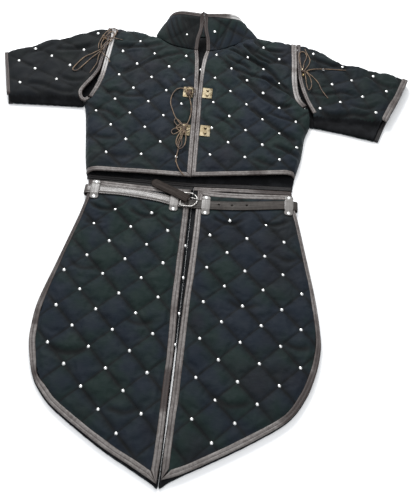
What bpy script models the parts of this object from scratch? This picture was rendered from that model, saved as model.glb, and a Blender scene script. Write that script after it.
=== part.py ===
# Quilted arming jacket with laced short sleeves, and its belted split skirt, laid flat on the floor.
# Plan axes while building: x towards the wearer's left, y towards the collar, y = 0 at the front hem.
import math

import bmesh
import bpy
from mathutils import Matrix, Vector
from mathutils.geometry import delaunay_2d_cdt

# Driving sizes, in millimetres
MM = 0.001
SQUARE = 65.0
CELLS = 3
GAP = 0.3
BACK_WALL = 8.0
SEAM_WALL = 5.0
PUFF = 6.0
HOLLOW = 16.0
EDGE_STEP = 2.0
SIDE_LAP = 7.0
SIDE_RUN = 34.0
LOW_RUN_RIGHT = 24.0
LOW_RUN_LEFT = 46.0
EDGE_RUN = 22.0
BINDING = 12.0
SKIRT_BINDING = 15.0
BINDING_LIFT = 1.0
ROUNDING = 1.5
COLLAR_WALL = 5.0
COLLAR_BINDING_LIFT = 0.6
BELT_WIDTH = 25.0
BELT_THICK = 2.5
TAB_WIDTH = 23.0
TAB_THICK = 1.8
TAB_CLEAR = 3.2
TAB_SLOPE = 2.5
LACE = 3.0
LACE_STEP = 9.0
FRONT_BASE = BACK_WALL + GAP
SKIRT_TOP = FRONT_BASE + SEAM_WALL
JACKET_TOP = FRONT_BASE + HOLLOW + SEAM_WALL
BELT_BASE = SKIRT_TOP + BINDING_LIFT + GAP
EDGE_SPACING = 30.0
SKIRT_STEP = 34.0
PLAIN_ANGLE = math.radians(0.5)
PRESS_REACH = 14.0
PRESS_RUN = 16.0

# Quilting of each panel: one stud, and the turn of its squares in degrees
QUILTING = {
    # panel: (stud x, stud y, turn)
    "front_right": (-146.3, 423.5, 43.5),
    "front_left": (129.6, 261.8, 43.4),
    "skirt_right": (-134.7, -158.8, 45.6),
    "skirt_left": (154.6, -161.0, 45.3),
    "sleeve_right": (-437.0, 377.0, 26.0),
    "sleeve_left": (427.0, 392.0, 65.0),
}

# Edges of the pattern pieces as laid, each a row of (x, y)
FRONT_EDGE_RIGHT = [(-0.3, 0), (-4, 150), (-6, 220), (-9, 310), (-16, 410), (-22, 455)]
FRONT_EDGE_LEFT = [(0.3, 2), (-3.2, 150), (-5, 220), (-7.6, 310), (-6, 410), (1, 456)]
HEM_RIGHT = [(-272, -9), (-130, -3), (-0.3, 0)]
HEM_LEFT = [(0.3, 2), (130, 20), (271, 41)]
SIDE_RIGHT = [(-272, -9), (-284, 48), (-292, 96), (-301, 148), (-310, 196), (-316, 216)]
SIDE_LEFT = [(271, 41), (285, 98), (290, 133), (296, 178), (308, 214)]
ARMHOLE_RIGHT = [(-316, 216), (-303, 252), (-292, 290), (-288, 330), (-286, 392), (-283, 460), (-283, 519)]
ARMHOLE_LEFT = [(308, 214), (303, 252), (292, 276), (276, 299), (266, 349), (263, 415), (265, 489),
                (267, 518)]
SHOULDER_RIGHT = [(-283, 519), (-216, 514), (-153, 505)]
SHOULDER_LEFT = [(267, 518), (209, 523), (151, 538)]
NECK_RIGHT = [(-153, 505), (-135, 488), (-101, 467), (-60, 458), (-22, 455)]
NECK_LEFT = [(151, 538), (115, 510), (75, 483), (38, 462), (1, 456)]
NECK_BACK = [(-153, 505), (-130, 519), (-90, 528), (0, 536), (90, 541), (130, 543), (151, 538)]
HEM_BACK = [(-268, -21), (0, -4), (265, 12)]
BACK_ARMHOLE_RIGHT = [(-316, 216), (-310, 262), (-300, 316), (-289, 392), (-284, 460), (-283, 519)]
BACK_ARMHOLE_LEFT = [(308, 214), (306, 255), (295, 300), (278, 349), (268, 415), (267, 489), (267, 518)]

SLEEVE_HEAD_RIGHT = [(-327, 218), (-328, 246), (-316, 276), (-300, 316), (-291, 378), (-284.5, 470),
                     (-283.5, 513)]
SLEEVE_HEAD_LEFT = [(322, 222), (314, 259), (303, 283), (287, 326), (276, 371), (266.6, 442), (267.2, 491),
                    (267.5, 514)]
UNDER_HEAD_RIGHT = [(-319, 218), (-313, 262), (-303, 316), (-292, 392), (-285, 460), (-283.5, 513)]
UNDER_HEAD_LEFT = [(312, 222), (309, 255), (298, 300), (281, 349), (269.5, 415), (267.7, 489), (267.5, 514)]
SLEEVE_TOP_RIGHT = [(-283.5, 513), (-311, 507), (-362, 488), (-413, 460), (-457, 445), (-488, 424),
                    (-535, 398), (-574, 380)]
SLEEVE_TOP_LEFT = [(267.5, 514), (287, 512), (338, 498), (376, 474), (406, 458), (432, 456), (485, 444),
                   (543, 435), (595, 421)]
CUFF_RIGHT = [(-574, 380), (-554, 310), (-539, 254), (-527, 208)]
CUFF_LEFT = [(595, 421), (565, 347), (539, 291), (520, 248), (500, 194)]
SLEEVE_BOTTOM_RIGHT = [(-527, 208), (-430, 214), (-327, 218)]
SLEEVE_BOTTOM_LEFT = [(500, 194), (451, 202), (396, 212), (322, 222)]

WAIST_RIGHT = [(-262, -30), (-220, -29), (-103, -32), (3, -31)]
WAIST_LEFT = [(21, -29), (104, -30), (245, -20), (264, -21)]
SKIRT_SIDE_RIGHT = [(-262, -30), (-258, -70), (-266, -130), (-279, -194), (-296, -275), (-318, -378),
                    (-321, -440), (-316, -489), (-295, -552), (-265, -594), (-225, -629), (-123, -693),
                    (-56, -727), (1, -757)]
SKIRT_SIDE_LEFT = [(264, -21), (270, -55), (280, -95), (297, -176), (324, -310), (336, -400), (336, -445),
                   (324, -502), (302, -554), (266, -604), (197, -652), (116, -699), (50, -734), (10, -749)]
SKIRT_SPLIT_RIGHT = [(3, -31), (3, -200), (3, -346), (6, -470), (5, -584), (4, -700), (1, -757)]
SKIRT_SPLIT_LEFT = [(21, -29), (20, -200), (16, -346), (14, -470), (12.5, -584), (9.5, -700), (10, -749)]
BACK_WAIST_RIGHT = [(-261, -21.3), (-130, -19), (8.4, -17)]
BACK_WAIST_LEFT = [(9.8, -17), (130, -9), (263, -2)]
BACK_SIDE_RIGHT = [(-261, -21.3), (-257, -70), (-265, -130), (-278, -194), (-295, -275), (-317, -378),
                   (-320, -440), (-316, -494), (-298, -558), (-269, -601), (-229, -636), (-127, -700),
                   (-58, -735), (3.6, -768)]
BACK_SIDE_LEFT = [(263, -2), (269, -55), (279, -95), (296, -176), (323, -310), (335, -400), (336, -448),
                  (325, -507), (304, -561), (270, -611), (200, -659), (118, -707), (52, -741), (5, -767)]
BACK_SPLIT_RIGHT = [(8.4, -17), (8.6, -200), (8.6, -440), (8, -520), (6.5, -600), (5.5, -690), (5.2, -735),
                    (3.6, -768)]
BACK_SPLIT_LEFT = [(9.8, -17), (9.9, -200), (10.2, -440), (13, -520), (12, -600), (10.5, -690),
                   (6.8, -735), (5, -767)]

# Collar as a bent band: stations round it from the right front edge over the back to the left
COLLAR = [
    # lower x, y, z; upper x, y, z at the middle of the wall
    (-22.5, 456.0, 26.8, -15.5, 556, 76),
    (-60, 459.2, 26.8, -46, 560, 75),
    (-101, 468.2, 26.8, -79, 567, 69),
    (-131, 487.6, 25.0, -101, 573, 57),
    (-146, 501.5, 18.5, -112, 577, 43),
    (-149, 508.5, 11.0, -117, 581, 29),
    (-144, 515.5, 4.6, -113, 586, 13),
    (-129, 523.0, 2.8, -98, 589, 3.2),
    (-90, 531.0, 2.8, -70, 590, 2.8),
    (0, 538.6, 2.8, 0, 594, 2.8),
    (90, 544.0, 2.8, 58, 598, 2.8),
    (126, 546.4, 2.8, 76, 600, 3.2),
    (141, 545.0, 4.6, 90, 598, 13),
    (146.5, 539.5, 11.0, 93, 595, 28),
    (142, 533.0, 18.5, 88, 591, 42),
    (114, 511.0, 25.0, 76, 585, 57),
    (74.5, 484.2, 26.8, 54, 575, 69),
    (37.5, 463.2, 26.8, 20, 563, 75),
    (1.5, 457.0, 26.8, -12.8, 557, 76),
]

BELT_RUN_RIGHT = [(-261.5, -58.5), (-240, -58), (-177, -57), (-125, -60), (-73, -66), (-34, -74),
                  (-4.2, -77)]
BELT_RUN_LEFT = [(-2.2, -77), (30, -75), (60, -74), (106, -71), (144, -67), (194, -60), (240, -53),
                 (273, -52)]
BELT_TURN_RIGHT = [(-265.5, -58.6, 14.2), (-266.8, -58.6, 11), (-266.8, -58.6, 5.5), (-264.8, -58.6, 2.2),
                   (-262, -58.6, 1.35), (-250, -58.6, 1.35)]
BELT_TURN_LEFT = [(277, -52, 14.2), (278.3, -52, 11), (278.3, -52, 5.5), (276.3, -52, 2.2),
                  (273.5, -52, 1.35), (260, -52, 1.35)]
BELT_TAIL = [(-1, -66, 22.4), (-22, -57, 24.0), (-50, -43, 21.4), (-75, -31, 19.6), (-98, -19, 18.9)]
BUCKLE_BAR_X = -20.0
BUCKLE_CURVE_X = 2.0
BUCKLE_HALF = 20.0
BUCKLE_WIRE = 4.0
PRONG_WIRE = 2.6
BUCKLE_Y = -66.0
TABS = [
    # name, x, y, length
    ("right_outer", -240, -58, 56),
    ("right_inner", -36, -73.6, 56),
    ("left_inner", 45, -75.5, 57),
    ("left_outer", 256, -53, 58),
]
RIVET_RADIUS = 3.6
RIVET_HEIGHT = 2.0
RIVET_INSET = 5.0
PLATE_WIDTH = 28.0
PLATE_HEIGHT = 38.0
PLATE_THICK = 1.5
EYELET_RADIUS = 4.6
EYELET_LIP = 0.6
EYELET_BORE = 2.6
EYELET_SPACING = 18.0
PLATES = [
    # name, inner edge x, y, side
    ("upper_right", -21.3, 286, -1),
    ("upper_left", 4.4, 289, 1),
    ("lower_right", -16.6, 150, -1),
    ("lower_left", 9.1, 153, 1),
]

# Laces: rows of (x, y, height over the cloth's seams)
FRONT_LACE_LOOP = [(-36, 277, 5.8), (-50, 293, 5.8), (-67, 288, 5.8), (-78, 265, 5.8), (-79, 236, 5.8),
                   (-71, 211, 5.8), (-61, 187, 5.8), (-47, 167, 6.2), (-36, 157.5, 6.3), (-29, 162, 6.3),
                   (-24, 176, 5.8), (-20.5, 199, 5.8),
                   (-21, 225, 5.8), (-26, 250, 5.8), (-31, 268, 5.8)]
FRONT_LACE_BOW = [(-36.7, 140.9, 8.4), (-47, 119, 9), (-49, 95, 9.2), (-38, 78, 9.2), (-27, 90, 9.2),
                  (-25, 115, 9), (-30.6, 140.8, 8.4)]
FRONT_LACE_TAIL = [(-33.7, 140.1, 4.8), (-41, 100, 5.7), (-42, 73, 5.7), (-44, 46, 5.7), (-38, 24, 5.7),
                   (-27, 6, 5), (-17, -4, 4)]
RIGHT_LACE_BOW = [(-303.9, 411, 5.7), (-320, 396, 5.7), (-342, 377, 5.7), (-360, 345, 5.7), (-366, 326, 5.7),
                  (-355, 323, 5.7), (-340, 345, 5.7), (-322, 376, 5.7), (-301, 406, 5.7)]
RIGHT_LACE_LOOP = [(-301, 415.6, 5.7), (-303, 440, 5.7), (-296, 468, 4.4), (-284, 492, 2.9), (-273, 488, 2.9),
                   (-275, 462, 4.9), (-286, 436, 5.7), (-296.3, 415.1, 5.7)]
LEFT_LACE_TAILS = [(409, 423, 5.7), (363, 421, 5.7), (325, 417, 5.7), (302, 410, 5.7), (295.9, 403, 5.7),
                   (301, 396, 5.7), (311, 387, 5.7), (328, 365, 5.7), (339, 336, 5.7), (356, 308, 5.7)]
LEFT_LACE_LOOP = [(284.7, 409, 5.7), (288, 436, 5.7), (295, 462, 5), (290, 482, 3.6), (277, 482, 3.2),
                  (273, 460, 4.6), (277, 432, 5.7), (281.4, 408, 5.7)]
KNOTS = [
    # name, x, y, height over the cloth's seams, half sizes
    ("lace_knot_front", -33.5, 148, 6.3, (7.0, 7.5, 4.0)),
    ("lace_knot_right", -299, 411, 5.7, (4.2, 4.8, 4.0)),
    ("lace_knot_left", 287, 403, 5.7, (7.0, 6.0, 4.0)),
]

COLOURS = {
    # name: (red, green, blue, roughness, metallic)
    "cloth": (0.025, 0.035, 0.045, 0.8, 0.0),
    "leather_grey": (0.24, 0.21, 0.19, 0.5, 0.0),
    "leather_belt": (0.05, 0.035, 0.028, 0.4, 0.0),
    "lace": (0.20, 0.12, 0.06, 0.6, 0.0),
    "brass": (0.70, 0.60, 0.36, 0.35, 1.0),
    "nickel": (0.75, 0.75, 0.74, 0.25, 1.0),
}


def clear_scene():
    for obj in list(bpy.data.objects):
        bpy.data.objects.remove(obj, do_unlink=True)


def make_material(name):
    red, green, blue, roughness, metallic = COLOURS[name]
    material = bpy.data.materials.new(name)
    material.use_nodes = True
    shader = material.node_tree.nodes["Principled BSDF"]
    shader.inputs["Base Color"].default_value = (red, green, blue, 1.0)
    shader.inputs["Roughness"].default_value = roughness
    shader.inputs["Metallic"].default_value = metallic
    return material


def spline(points, step):
    """Points about every step along a smooth curve through the given rows."""
    rows = [Vector(p) for p in points]
    if len(rows) == 2:
        count = max(1, round((rows[1] - rows[0]).length / step))
        return [rows[0].lerp(rows[1], i / count) for i in range(count + 1)]
    ends = [2 * rows[0] - rows[1]] + rows + [2 * rows[-1] - rows[-2]]
    out = [rows[0]]
    for k in range(1, len(ends) - 2):
        a, b, c, d = ends[k - 1:k + 3]
        count = max(1, round((c - b).length / step))
        for i in range(1, count + 1):
            t = i / count
            out.append(0.5 * (2 * b + (c - a) * t + (2 * a - 5 * b + 4 * c - d) * t * t
                              + (3 * b - a - 3 * c + d) * t ** 3))
    return out


def outline_of(edges, step):
    """Joins edges given as (rows, binding width, reversed) into a loop, with a width a segment."""
    points, widths = [], []
    for rows, width, flip in edges:
        run = spline(rows, step)
        if flip:
            run.reverse()
        points += run[:-1]
        widths += [width] * (len(run) - 1)
    return points, widths


def turned_area(points):
    total = 0.0
    for a, b in zip(points, points[1:] + points[:1]):
        total += a.x * b.y - b.x * a.y
    return total / 2


def inset(points, widths):
    """Moves each segment of a loop inwards by its own width and joins them again at the corners."""
    turn = 1.0 if turned_area(points) > 0 else -1.0
    out = []
    for i, p in enumerate(points):
        before = (p - points[i - 1]).normalized()
        after = (points[(i + 1) % len(points)] - p).normalized()
        in_before = Vector((-before.y, before.x)) * turn
        in_after = Vector((-after.y, after.x)) * turn
        cross = before.x * after.y - before.y * after.x
        w_before, w_after = widths[i - 1], widths[i]
        if abs(cross) < 0.02:
            out.append(p + (in_before + in_after).normalized() * max(w_before, w_after))
            continue
        start = p + in_before * w_before
        other = p + in_after * w_after
        t = ((other - start).x * after.y - (other - start).y * after.x) / cross
        out.append(start + before * t)
    return out


def distance_to(path, p):
    best = 1e9
    for a, b in zip(path, path[1:]):
        along = b - a
        t = max(0.0, min(1.0, (p - a).dot(along) / along.length_squared))
        best = min(best, (p - a - along * t).length)
    return best


def inside(loop, p):
    hit = False
    for a, b in zip(loop, loop[1:] + loop[:1]):
        if (a.y > p.y) != (b.y > p.y) and p.x < (b.x - a.x) * (p.y - a.y) / (b.y - a.y) + a.x:
            hit = not hit
    return hit


def quarter_round(t):
    t = max(0.0, min(1.0, t))
    return math.sqrt(1.0 - (1.0 - t) ** 2)


def ease(t):
    t = max(0.0, min(1.0, t))
    return t * t * (3 - 2 * t)


def quilt_lines(panel, loop):
    """Long lines both ways of the quilting, CELLS of them to each square, across the loop's box."""
    stud_x, stud_y, turn = QUILTING[panel]
    origin = Vector((stud_x, stud_y))
    angle = math.radians(turn)
    along = Vector((math.cos(angle), -math.sin(angle)))
    across = Vector((-math.sin(angle), -math.cos(angle)))
    pitch = SQUARE / CELLS
    lines = []
    for run, shift in ((along, across), (across, along)):
        offsets = [(p - origin).dot(shift) for p in loop]
        reach = [(p - origin).dot(run) for p in loop]
        first = math.ceil(min(offsets) / pitch)
        last = math.floor(max(offsets) / pitch)
        for k in range(first, last + 1):
            base = origin + shift * (k * pitch)
            lines.append((base + run * (min(reach) - pitch), base + run * (max(reach) + pitch)))
    return lines


def puff_at(panel, p):
    stud_x, stud_y, turn = QUILTING[panel]
    angle = math.radians(turn)
    offset = p - Vector((stud_x, stud_y))
    u = offset.dot(Vector((math.cos(angle), -math.sin(angle)))) / SQUARE
    v = offset.dot(Vector((-math.sin(angle), -math.cos(angle)))) / SQUARE
    u -= math.floor(u)
    v -= math.floor(v)
    return PUFF * (16 * u * (1 - u) * v * (1 - v)) ** 0.6


def triangulate(loop, lines):
    """Cuts the loop's inside along the lines into triangles."""
    points = list(loop)
    edges = [(i, (i + 1) % len(loop)) for i in range(len(loop))]
    for line in lines:
        start = len(points)
        points += line
        edges += [(start + i, start + i + 1) for i in range(len(line) - 1)]
    flat, _, faces, *_ = delaunay_2d_cdt([p.to_2d() for p in points], edges, [], 0, 1e-4)
    kept = [f for f in faces if inside(loop, sum((flat[i] for i in f), Vector((0, 0))) / len(f))]
    return flat, kept


def wall(name, flat, faces, outer, inner, material, plain_inside=False):
    """A closed solid over a flat patch: outer and inner give both skins' places from its points."""
    mesh = bpy.data.meshes.new(name)
    bm = bmesh.new()
    verts = {}
    for face in faces:
        for i in face:
            if i not in verts:
                verts[i] = bm.verts.new((flat[i].x, flat[i].y, 0.0))
        bm.faces.new([verts[i] for i in face])
    bmesh.ops.recalc_face_normals(bm, faces=bm.faces)
    bmesh.ops.solidify(bm, geom=bm.faces[:], thickness=1.0)
    inner_side = {v for v in bm.verts if abs(v.co.z) > 0.5}
    for v in bm.verts:
        place = inner if v in inner_side else outer
        v.co = place(v.co.to_2d()) * MM
    if plain_inside:
        level = {e for v in inner_side for e in v.link_edges if e.other_vert(v) in inner_side}
        bmesh.ops.dissolve_limit(bm, angle_limit=PLAIN_ANGLE, verts=list(inner_side), edges=list(level))
    face_out(bm)
    bm.to_mesh(mesh)
    bm.free()
    return add_object(name, mesh, material)


def face_out(bm):
    """Turns all faces of a closed solid outwards."""
    bmesh.ops.recalc_face_normals(bm, faces=bm.faces)
    if bm.calc_volume(signed=True) < 0:
        bmesh.ops.reverse_faces(bm, faces=bm.faces)


def add_object(name, mesh, material):
    obj = bpy.data.objects.new(name, mesh)
    mesh.materials.append(material)
    collection.objects.link(obj)
    obj.parent = frame_empty
    return obj


def raised(x, y, z):
    return Vector((x, y, z))


def flat_panel(name, edges, base, thickness, material, step=45.0):
    """A plain wall of even thickness, its bound edges left out for their bindings."""
    points, widths = outline_of(edges, step)
    loop = inset(points, widths)
    flat, faces = triangulate(loop, [])
    return wall(name, flat, faces,
                lambda p: raised(p.x, p.y, base + thickness),
                lambda p: raised(p.x, p.y, base), material, plain_inside=True)


def pressed_by(p, pressing):
    """0 where a belt or a plate presses the padding flat, rising to 1 around it."""
    free = 1.0
    for path, half in pressing:
        free = min(free, ease((distance_to(path, p) - half - PRESS_REACH) / PRESS_RUN))
    return free


class Skin:
    """Heights of a front wall: closed edges, each with its run, come down to the wall underneath."""

    def __init__(self, panel, points, closed, hollow, pressing):
        self.panel = panel
        self.rim = points + points[:1]
        self.closed = closed
        self.hollow = hollow
        self.pressing = pressing

    def rise(self, p, lap):
        height = 1.0
        for path, run in self.closed:
            height = min(height, quarter_round((distance_to(path, p) - lap) / (run - lap)))
        return height

    def seam(self, p):
        if not self.closed:
            return FRONT_BASE + self.hollow + SEAM_WALL
        return FRONT_BASE + EDGE_STEP + (self.hollow + SEAM_WALL - EDGE_STEP) * self.rise(p, 0.0)

    def outer(self, p):
        puff = puff_at(self.panel, p) * ease(distance_to(self.rim, p) / EDGE_RUN) * pressed_by(p, self.pressing)
        return raised(p.x, p.y, self.seam(p) + puff)

    def inner(self, p):
        return raised(p.x, p.y, FRONT_BASE + self.hollow * self.rise(p, SIDE_LAP))


def quilted_panel(name, panel, edges, closed_runs, hollow, pressing, material, step=EDGE_SPACING):
    """A front wall with raised quilting over a plain inside; returns its heights for the bindings."""
    points, widths = outline_of(edges, step)
    closed = [(spline(rows, step), run) for rows, run in closed_runs]
    skin = Skin(panel, points, closed, hollow, pressing)
    loop = inset(points, widths)
    lines = quilt_lines(panel, loop)
    for path, run in closed:
        lines += round_lines(path, loop, run)
    flat, faces = triangulate(loop, lines)
    wall(name, flat, faces, skin.outer, skin.inner, material, plain_inside=True)
    return skin


def round_lines(path, loop, run):
    """Lines beside a closed edge where its rounding needs points."""
    lines = []
    for share in (0.12, 0.42):
        moved = []
        for i, p in enumerate(path):
            along = (path[min(i + 1, len(path) - 1)] - path[max(i - 1, 0)]).normalized()
            side = Vector((-along.y, along.x))
            if not inside(loop, p + side * (run * share)):
                side = -side
            moved.append(p + side * (run * share))
        lines.append(moved[1:-1])
    return lines


def bar_along(name, outer_row, inner_row, top, bottom, material, closed=False):
    """Folded leather round an edge: a bar between two rows of points, rounded on its outer side."""
    mesh = bpy.data.meshes.new(name)
    bm = bmesh.new()
    sections = []
    for o, i in zip(outer_row, inner_row):
        away = (i - o).normalized()
        edge = o + away * ROUNDING
        middle = (top(o) + bottom(o)) / 2
        ring = [
            raised(i.x, i.y, bottom(i)),
            raised(edge.x, edge.y, bottom(o)),
            raised(o.x, o.y, middle),
            raised(edge.x, edge.y, top(o)),
            raised(i.x, i.y, top(i)),
        ]
        sections.append([bm.verts.new(v * MM) for v in ring])
    pairs = list(zip(sections, sections[1:]))
    if closed:
        pairs.append((sections[-1], sections[0]))
    for a, b in pairs:
        for k in range(5):
            bm.faces.new((a[k], a[(k + 1) % 5], b[(k + 1) % 5], b[k]))
    if not closed:
        bm.faces.new(sections[0])
        bm.faces.new(sections[-1])
    face_out(bm)
    bm.to_mesh(mesh)
    bm.free()
    return add_object(name, mesh, material)


def binding(name, edges, first, last, top, bottom, material, step, closed=False):
    """The binding of the edges first to last of an outline."""
    points, widths = outline_of(edges, step)
    narrowed = [w - GAP if w > GAP else w for w in widths]
    inner = inset(points, narrowed)
    start = sum(len(spline(rows, step)) - 1 for rows, _, _ in edges[:first])
    count = sum(len(spline(rows, step)) - 1 for rows, _, _ in edges[first:last + 1])
    picks = [(start + k) % len(points) for k in range(count + (0 if closed else 1))]
    outer_row = [points[k] for k in picks]
    inner_row = [inner[k] for k in picks]
    return bar_along(name, outer_row, inner_row, top, bottom, material, closed)


def back_binding(name, edges, first, last, material, step=45.0):
    return binding(name, edges, first, last, lambda p: BACK_WALL, lambda p: 0.0, material, step)


def front_binding(name, edges, first, last, skin, material, step=EDGE_SPACING, closed=False):
    return binding(name, edges, first, last,
                   lambda p: skin.seam(p) + BINDING_LIFT,
                   lambda p: skin.inner(p).z, material, step, closed)


def path_box(x, y, half_x, half_y):
    return [Vector((x, y - half_y + half_x)), Vector((x, y + half_y - half_x))], half_x


def make_jacket(cloth, leather):
    plates = [path_box(x + side * PLATE_WIDTH / 2, y, PLATE_WIDTH / 2, PLATE_HEIGHT / 2)
              for _, x, y, side in PLATES]
    right = [(HEM_RIGHT, BINDING, True), (SIDE_RIGHT, 0, False), (ARMHOLE_RIGHT, BINDING, False),
             (SHOULDER_RIGHT, 0, False), (NECK_RIGHT, 0, False), (FRONT_EDGE_RIGHT, BINDING, True)]
    left = [(HEM_LEFT, BINDING, False), (SIDE_LEFT, 0, False), (ARMHOLE_LEFT, BINDING, False),
            (SHOULDER_LEFT, 0, False), (NECK_LEFT, 0, False), (FRONT_EDGE_LEFT, BINDING, True)]
    sides = (("right", right, SIDE_RIGHT, SHOULDER_RIGHT), ("left", left, SIDE_LEFT, SHOULDER_LEFT))
    for side, edges, seam, shoulder in sides:
        closed = [(seam, SIDE_RUN), (shoulder, SIDE_RUN)]
        skin = quilted_panel("jacket_front_" + side, "front_" + side, edges, closed, HOLLOW, plates, cloth)
        turned = edges[-1:] + edges[:-1]
        front_binding("front_binding_" + side, turned, 0, 1, skin, leather)
        front_binding("armhole_binding_" + side, edges, 2, 2, skin, leather)
    back = [(HEM_BACK, BINDING, True), ([(-268, -21), (-272, -9)], 0, False), (SIDE_RIGHT, 0, False),
            (BACK_ARMHOLE_RIGHT, 0, False), (SHOULDER_RIGHT, 0, False), (NECK_BACK, 0, False),
            (SHOULDER_LEFT, 0, True), (BACK_ARMHOLE_LEFT, 0, True), (SIDE_LEFT, 0, True),
            ([(265, 12), (271, 41)], 0, True)]
    flat_panel("jacket_back", back, 0.0, BACK_WALL, cloth)
    back_binding("back_hem_binding", back, 0, 0, leather, 60.0)


def make_sleeves(cloth, leather):
    parts = (
        ("right", SLEEVE_HEAD_RIGHT, UNDER_HEAD_RIGHT, SLEEVE_TOP_RIGHT, CUFF_RIGHT, SLEEVE_BOTTOM_RIGHT,
         LOW_RUN_RIGHT),
        ("left", SLEEVE_HEAD_LEFT, UNDER_HEAD_LEFT, SLEEVE_TOP_LEFT, CUFF_LEFT, SLEEVE_BOTTOM_LEFT,
         LOW_RUN_LEFT),
    )
    for side, head, under_head, top, cuff, bottom, low_run in parts:
        edges = [(head, BINDING, False), (top, 0, False), (cuff, BINDING, False), (bottom, 0, False)]
        closed = [(top, SIDE_RUN), (bottom, low_run)]
        skin = quilted_panel("sleeve_upper_" + side, "sleeve_" + side, edges, closed, HOLLOW, [], cloth)
        front_binding("sleeve_head_binding_" + side, edges, 0, 0, skin, leather)
        front_binding("cuff_binding_upper_" + side, edges, 2, 2, skin, leather)
        lap = [bottom[-1], under_head[0]]
        under = [(under_head, 0, False), (top, 0, False), (cuff, BINDING, False), (bottom, 0, False),
                 (lap, 0, False)]
        flat_panel("sleeve_under_" + side, under, 0.0, BACK_WALL, cloth)
        back_binding("cuff_binding_under_" + side, under, 2, 2, leather)


def make_collar(cloth, leather):
    """The stand collar: a band bent flat round the neck, with its binding on the front and top edges."""
    lower = [Vector(row[:3]) for row in COLLAR]
    upper = [Vector(row[3:]) for row in COLLAR]
    length = [0.0]
    for a, b in zip(upper, upper[1:]):
        length.append(length[-1] + (b - a).length)
    share = BINDING / 118.0
    stations = []
    for k in range(len(COLLAR) - 1):
        halves = 2 if length[k + 1] - length[k] > 60 else 1
        stations += [k + i / halves for i in range(halves)]
    stations.append(len(COLLAR) - 1.0)
    first_split = BINDING / (length[1] - length[0])
    last_split = BINDING / (length[-1] - length[-2])
    seam = 0.03
    columns = sorted(stations + [first_split, first_split + seam,
                                 len(COLLAR) - 1 - last_split, len(COLLAR) - 1 - last_split - seam])
    rows = [0.0, 0.3, 0.6, 1.0 - share - 0.017, 1.0 - share, 1.0]

    def at(p, side, thickness):
        k = min(int(p.x), len(COLLAR) - 2)
        t = p.x - k
        low = lower[k].lerp(lower[k + 1], t)
        high = upper[k].lerp(upper[k + 1], t)
        along = (lower[min(k + 1, len(COLLAR) - 1)] - lower[k]) + (upper[k + 1] - upper[k])
        before = along
        if t < 0.5 and k > 0:
            before = (lower[k] - lower[k - 1]) + (upper[k] - upper[k - 1])
        elif t > 0.5 and k < len(COLLAR) - 2:
            before = (lower[k + 2] - lower[k + 1]) + (upper[k + 2] - upper[k + 1])
        blend = abs(t - 0.5)
        along = along.normalized().lerp(before.normalized(), blend)
        normal = (high - low).cross(along)
        low_normal = Vector((normal.x, 0.0, normal.z)).normalized()
        out = low_normal.lerp(normal.normalized(), p.y)
        return low.lerp(high, p.y) + out.normalized() * (side * thickness / 2)

    def region(keep):
        flat = [Vector((u, v)) for v in rows for u in columns]
        faces = []
        for j in range(len(rows) - 1):
            for i in range(len(columns) - 1):
                if keep(i, j):
                    a = j * len(columns) + i
                    faces.append((a, a + 1, a + 1 + len(columns), a + len(columns)))
        return flat, faces

    first_inner = columns.index(first_split + seam)
    last_inner = columns.index(len(COLLAR) - 1 - last_split - seam)
    flat, faces = region(lambda i, j: first_inner <= i < last_inner and j < 3)
    wall("collar", flat, faces, lambda p: at(p, 1, COLLAR_WALL), lambda p: at(p, -1, COLLAR_WALL), cloth)
    flat, faces = region(lambda i, j: i < first_inner - 1 or i > last_inner or j == 4)
    thick = COLLAR_WALL + COLLAR_BINDING_LIFT
    wall("collar_binding", flat, faces, lambda p: at(p, 1, thick), lambda p: at(p, -1, thick), leather)


def make_skirt(cloth, leather, belt_path):
    pressing = [(belt_path, BELT_WIDTH / 2 + 8)]
    for _, x, y, length in TABS:
        pressing.append(path_box(x, y, TAB_WIDTH / 2, length / 2))
    right = [(WAIST_RIGHT, SKIRT_BINDING, True), (SKIRT_SIDE_RIGHT, SKIRT_BINDING, False),
             (SKIRT_SPLIT_RIGHT, SKIRT_BINDING, True)]
    left = [(WAIST_LEFT, SKIRT_BINDING, False), (SKIRT_SIDE_LEFT, SKIRT_BINDING, False),
            (SKIRT_SPLIT_LEFT, SKIRT_BINDING, True)]
    back_right = [(BACK_WAIST_RIGHT, BINDING, True), (BACK_SIDE_RIGHT, 0, False),
                  (BACK_SPLIT_RIGHT, 0, True)]
    back_left = [(BACK_WAIST_LEFT, BINDING, False), (BACK_SIDE_LEFT, 0, False), (BACK_SPLIT_LEFT, 0, True)]
    for side, edges, back in (("right", right, back_right), ("left", left, back_left)):
        skin = quilted_panel("skirt_front_" + side, "skirt_" + side, edges, [], 0.0, pressing, cloth,
                             SKIRT_STEP)
        front_binding("skirt_binding_" + side, edges, 0, 2, skin, leather, SKIRT_STEP, closed=True)
        panel = flat_panel("skirt_back_" + side, back, 0.0, BACK_WALL, cloth)
        cut_belt_channel(panel)
        back_binding("waist_binding_back_" + side, back, 0, 0, leather)


def cut_belt_channel(panel):
    """A shallow channel under the back wall where the belt passes."""
    start = Vector(BELT_TURN_RIGHT[-1][:2])
    end = Vector(BELT_TURN_LEFT[-1][:2])
    run = end - start
    bpy.ops.mesh.primitive_cube_add(size=1)
    cutter = bpy.context.object
    cutter.name = panel.name + "_channel"
    depth = 2 * (BELT_THICK + 2 * GAP)
    cutter.scale = (run.length * 1.3 * MM, (BELT_WIDTH + 2) * MM, depth * MM)
    cutter.rotation_euler = (0, 0, math.atan2(run.y, run.x))
    cutter.location = ((start.x + end.x) / 2 * MM, (start.y + end.y) / 2 * MM, 0)
    cutter.parent = frame_empty
    cutter.hide_render = True
    cutter.display_type = "WIRE"
    for holder in list(cutter.users_collection):
        holder.objects.unlink(cutter)
    cutters.objects.link(cutter)
    cut = panel.modifiers.new("channel", "BOOLEAN")
    cut.object = cutter
    cut.operation = "DIFFERENCE"
    cut.solver = "EXACT"


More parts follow.
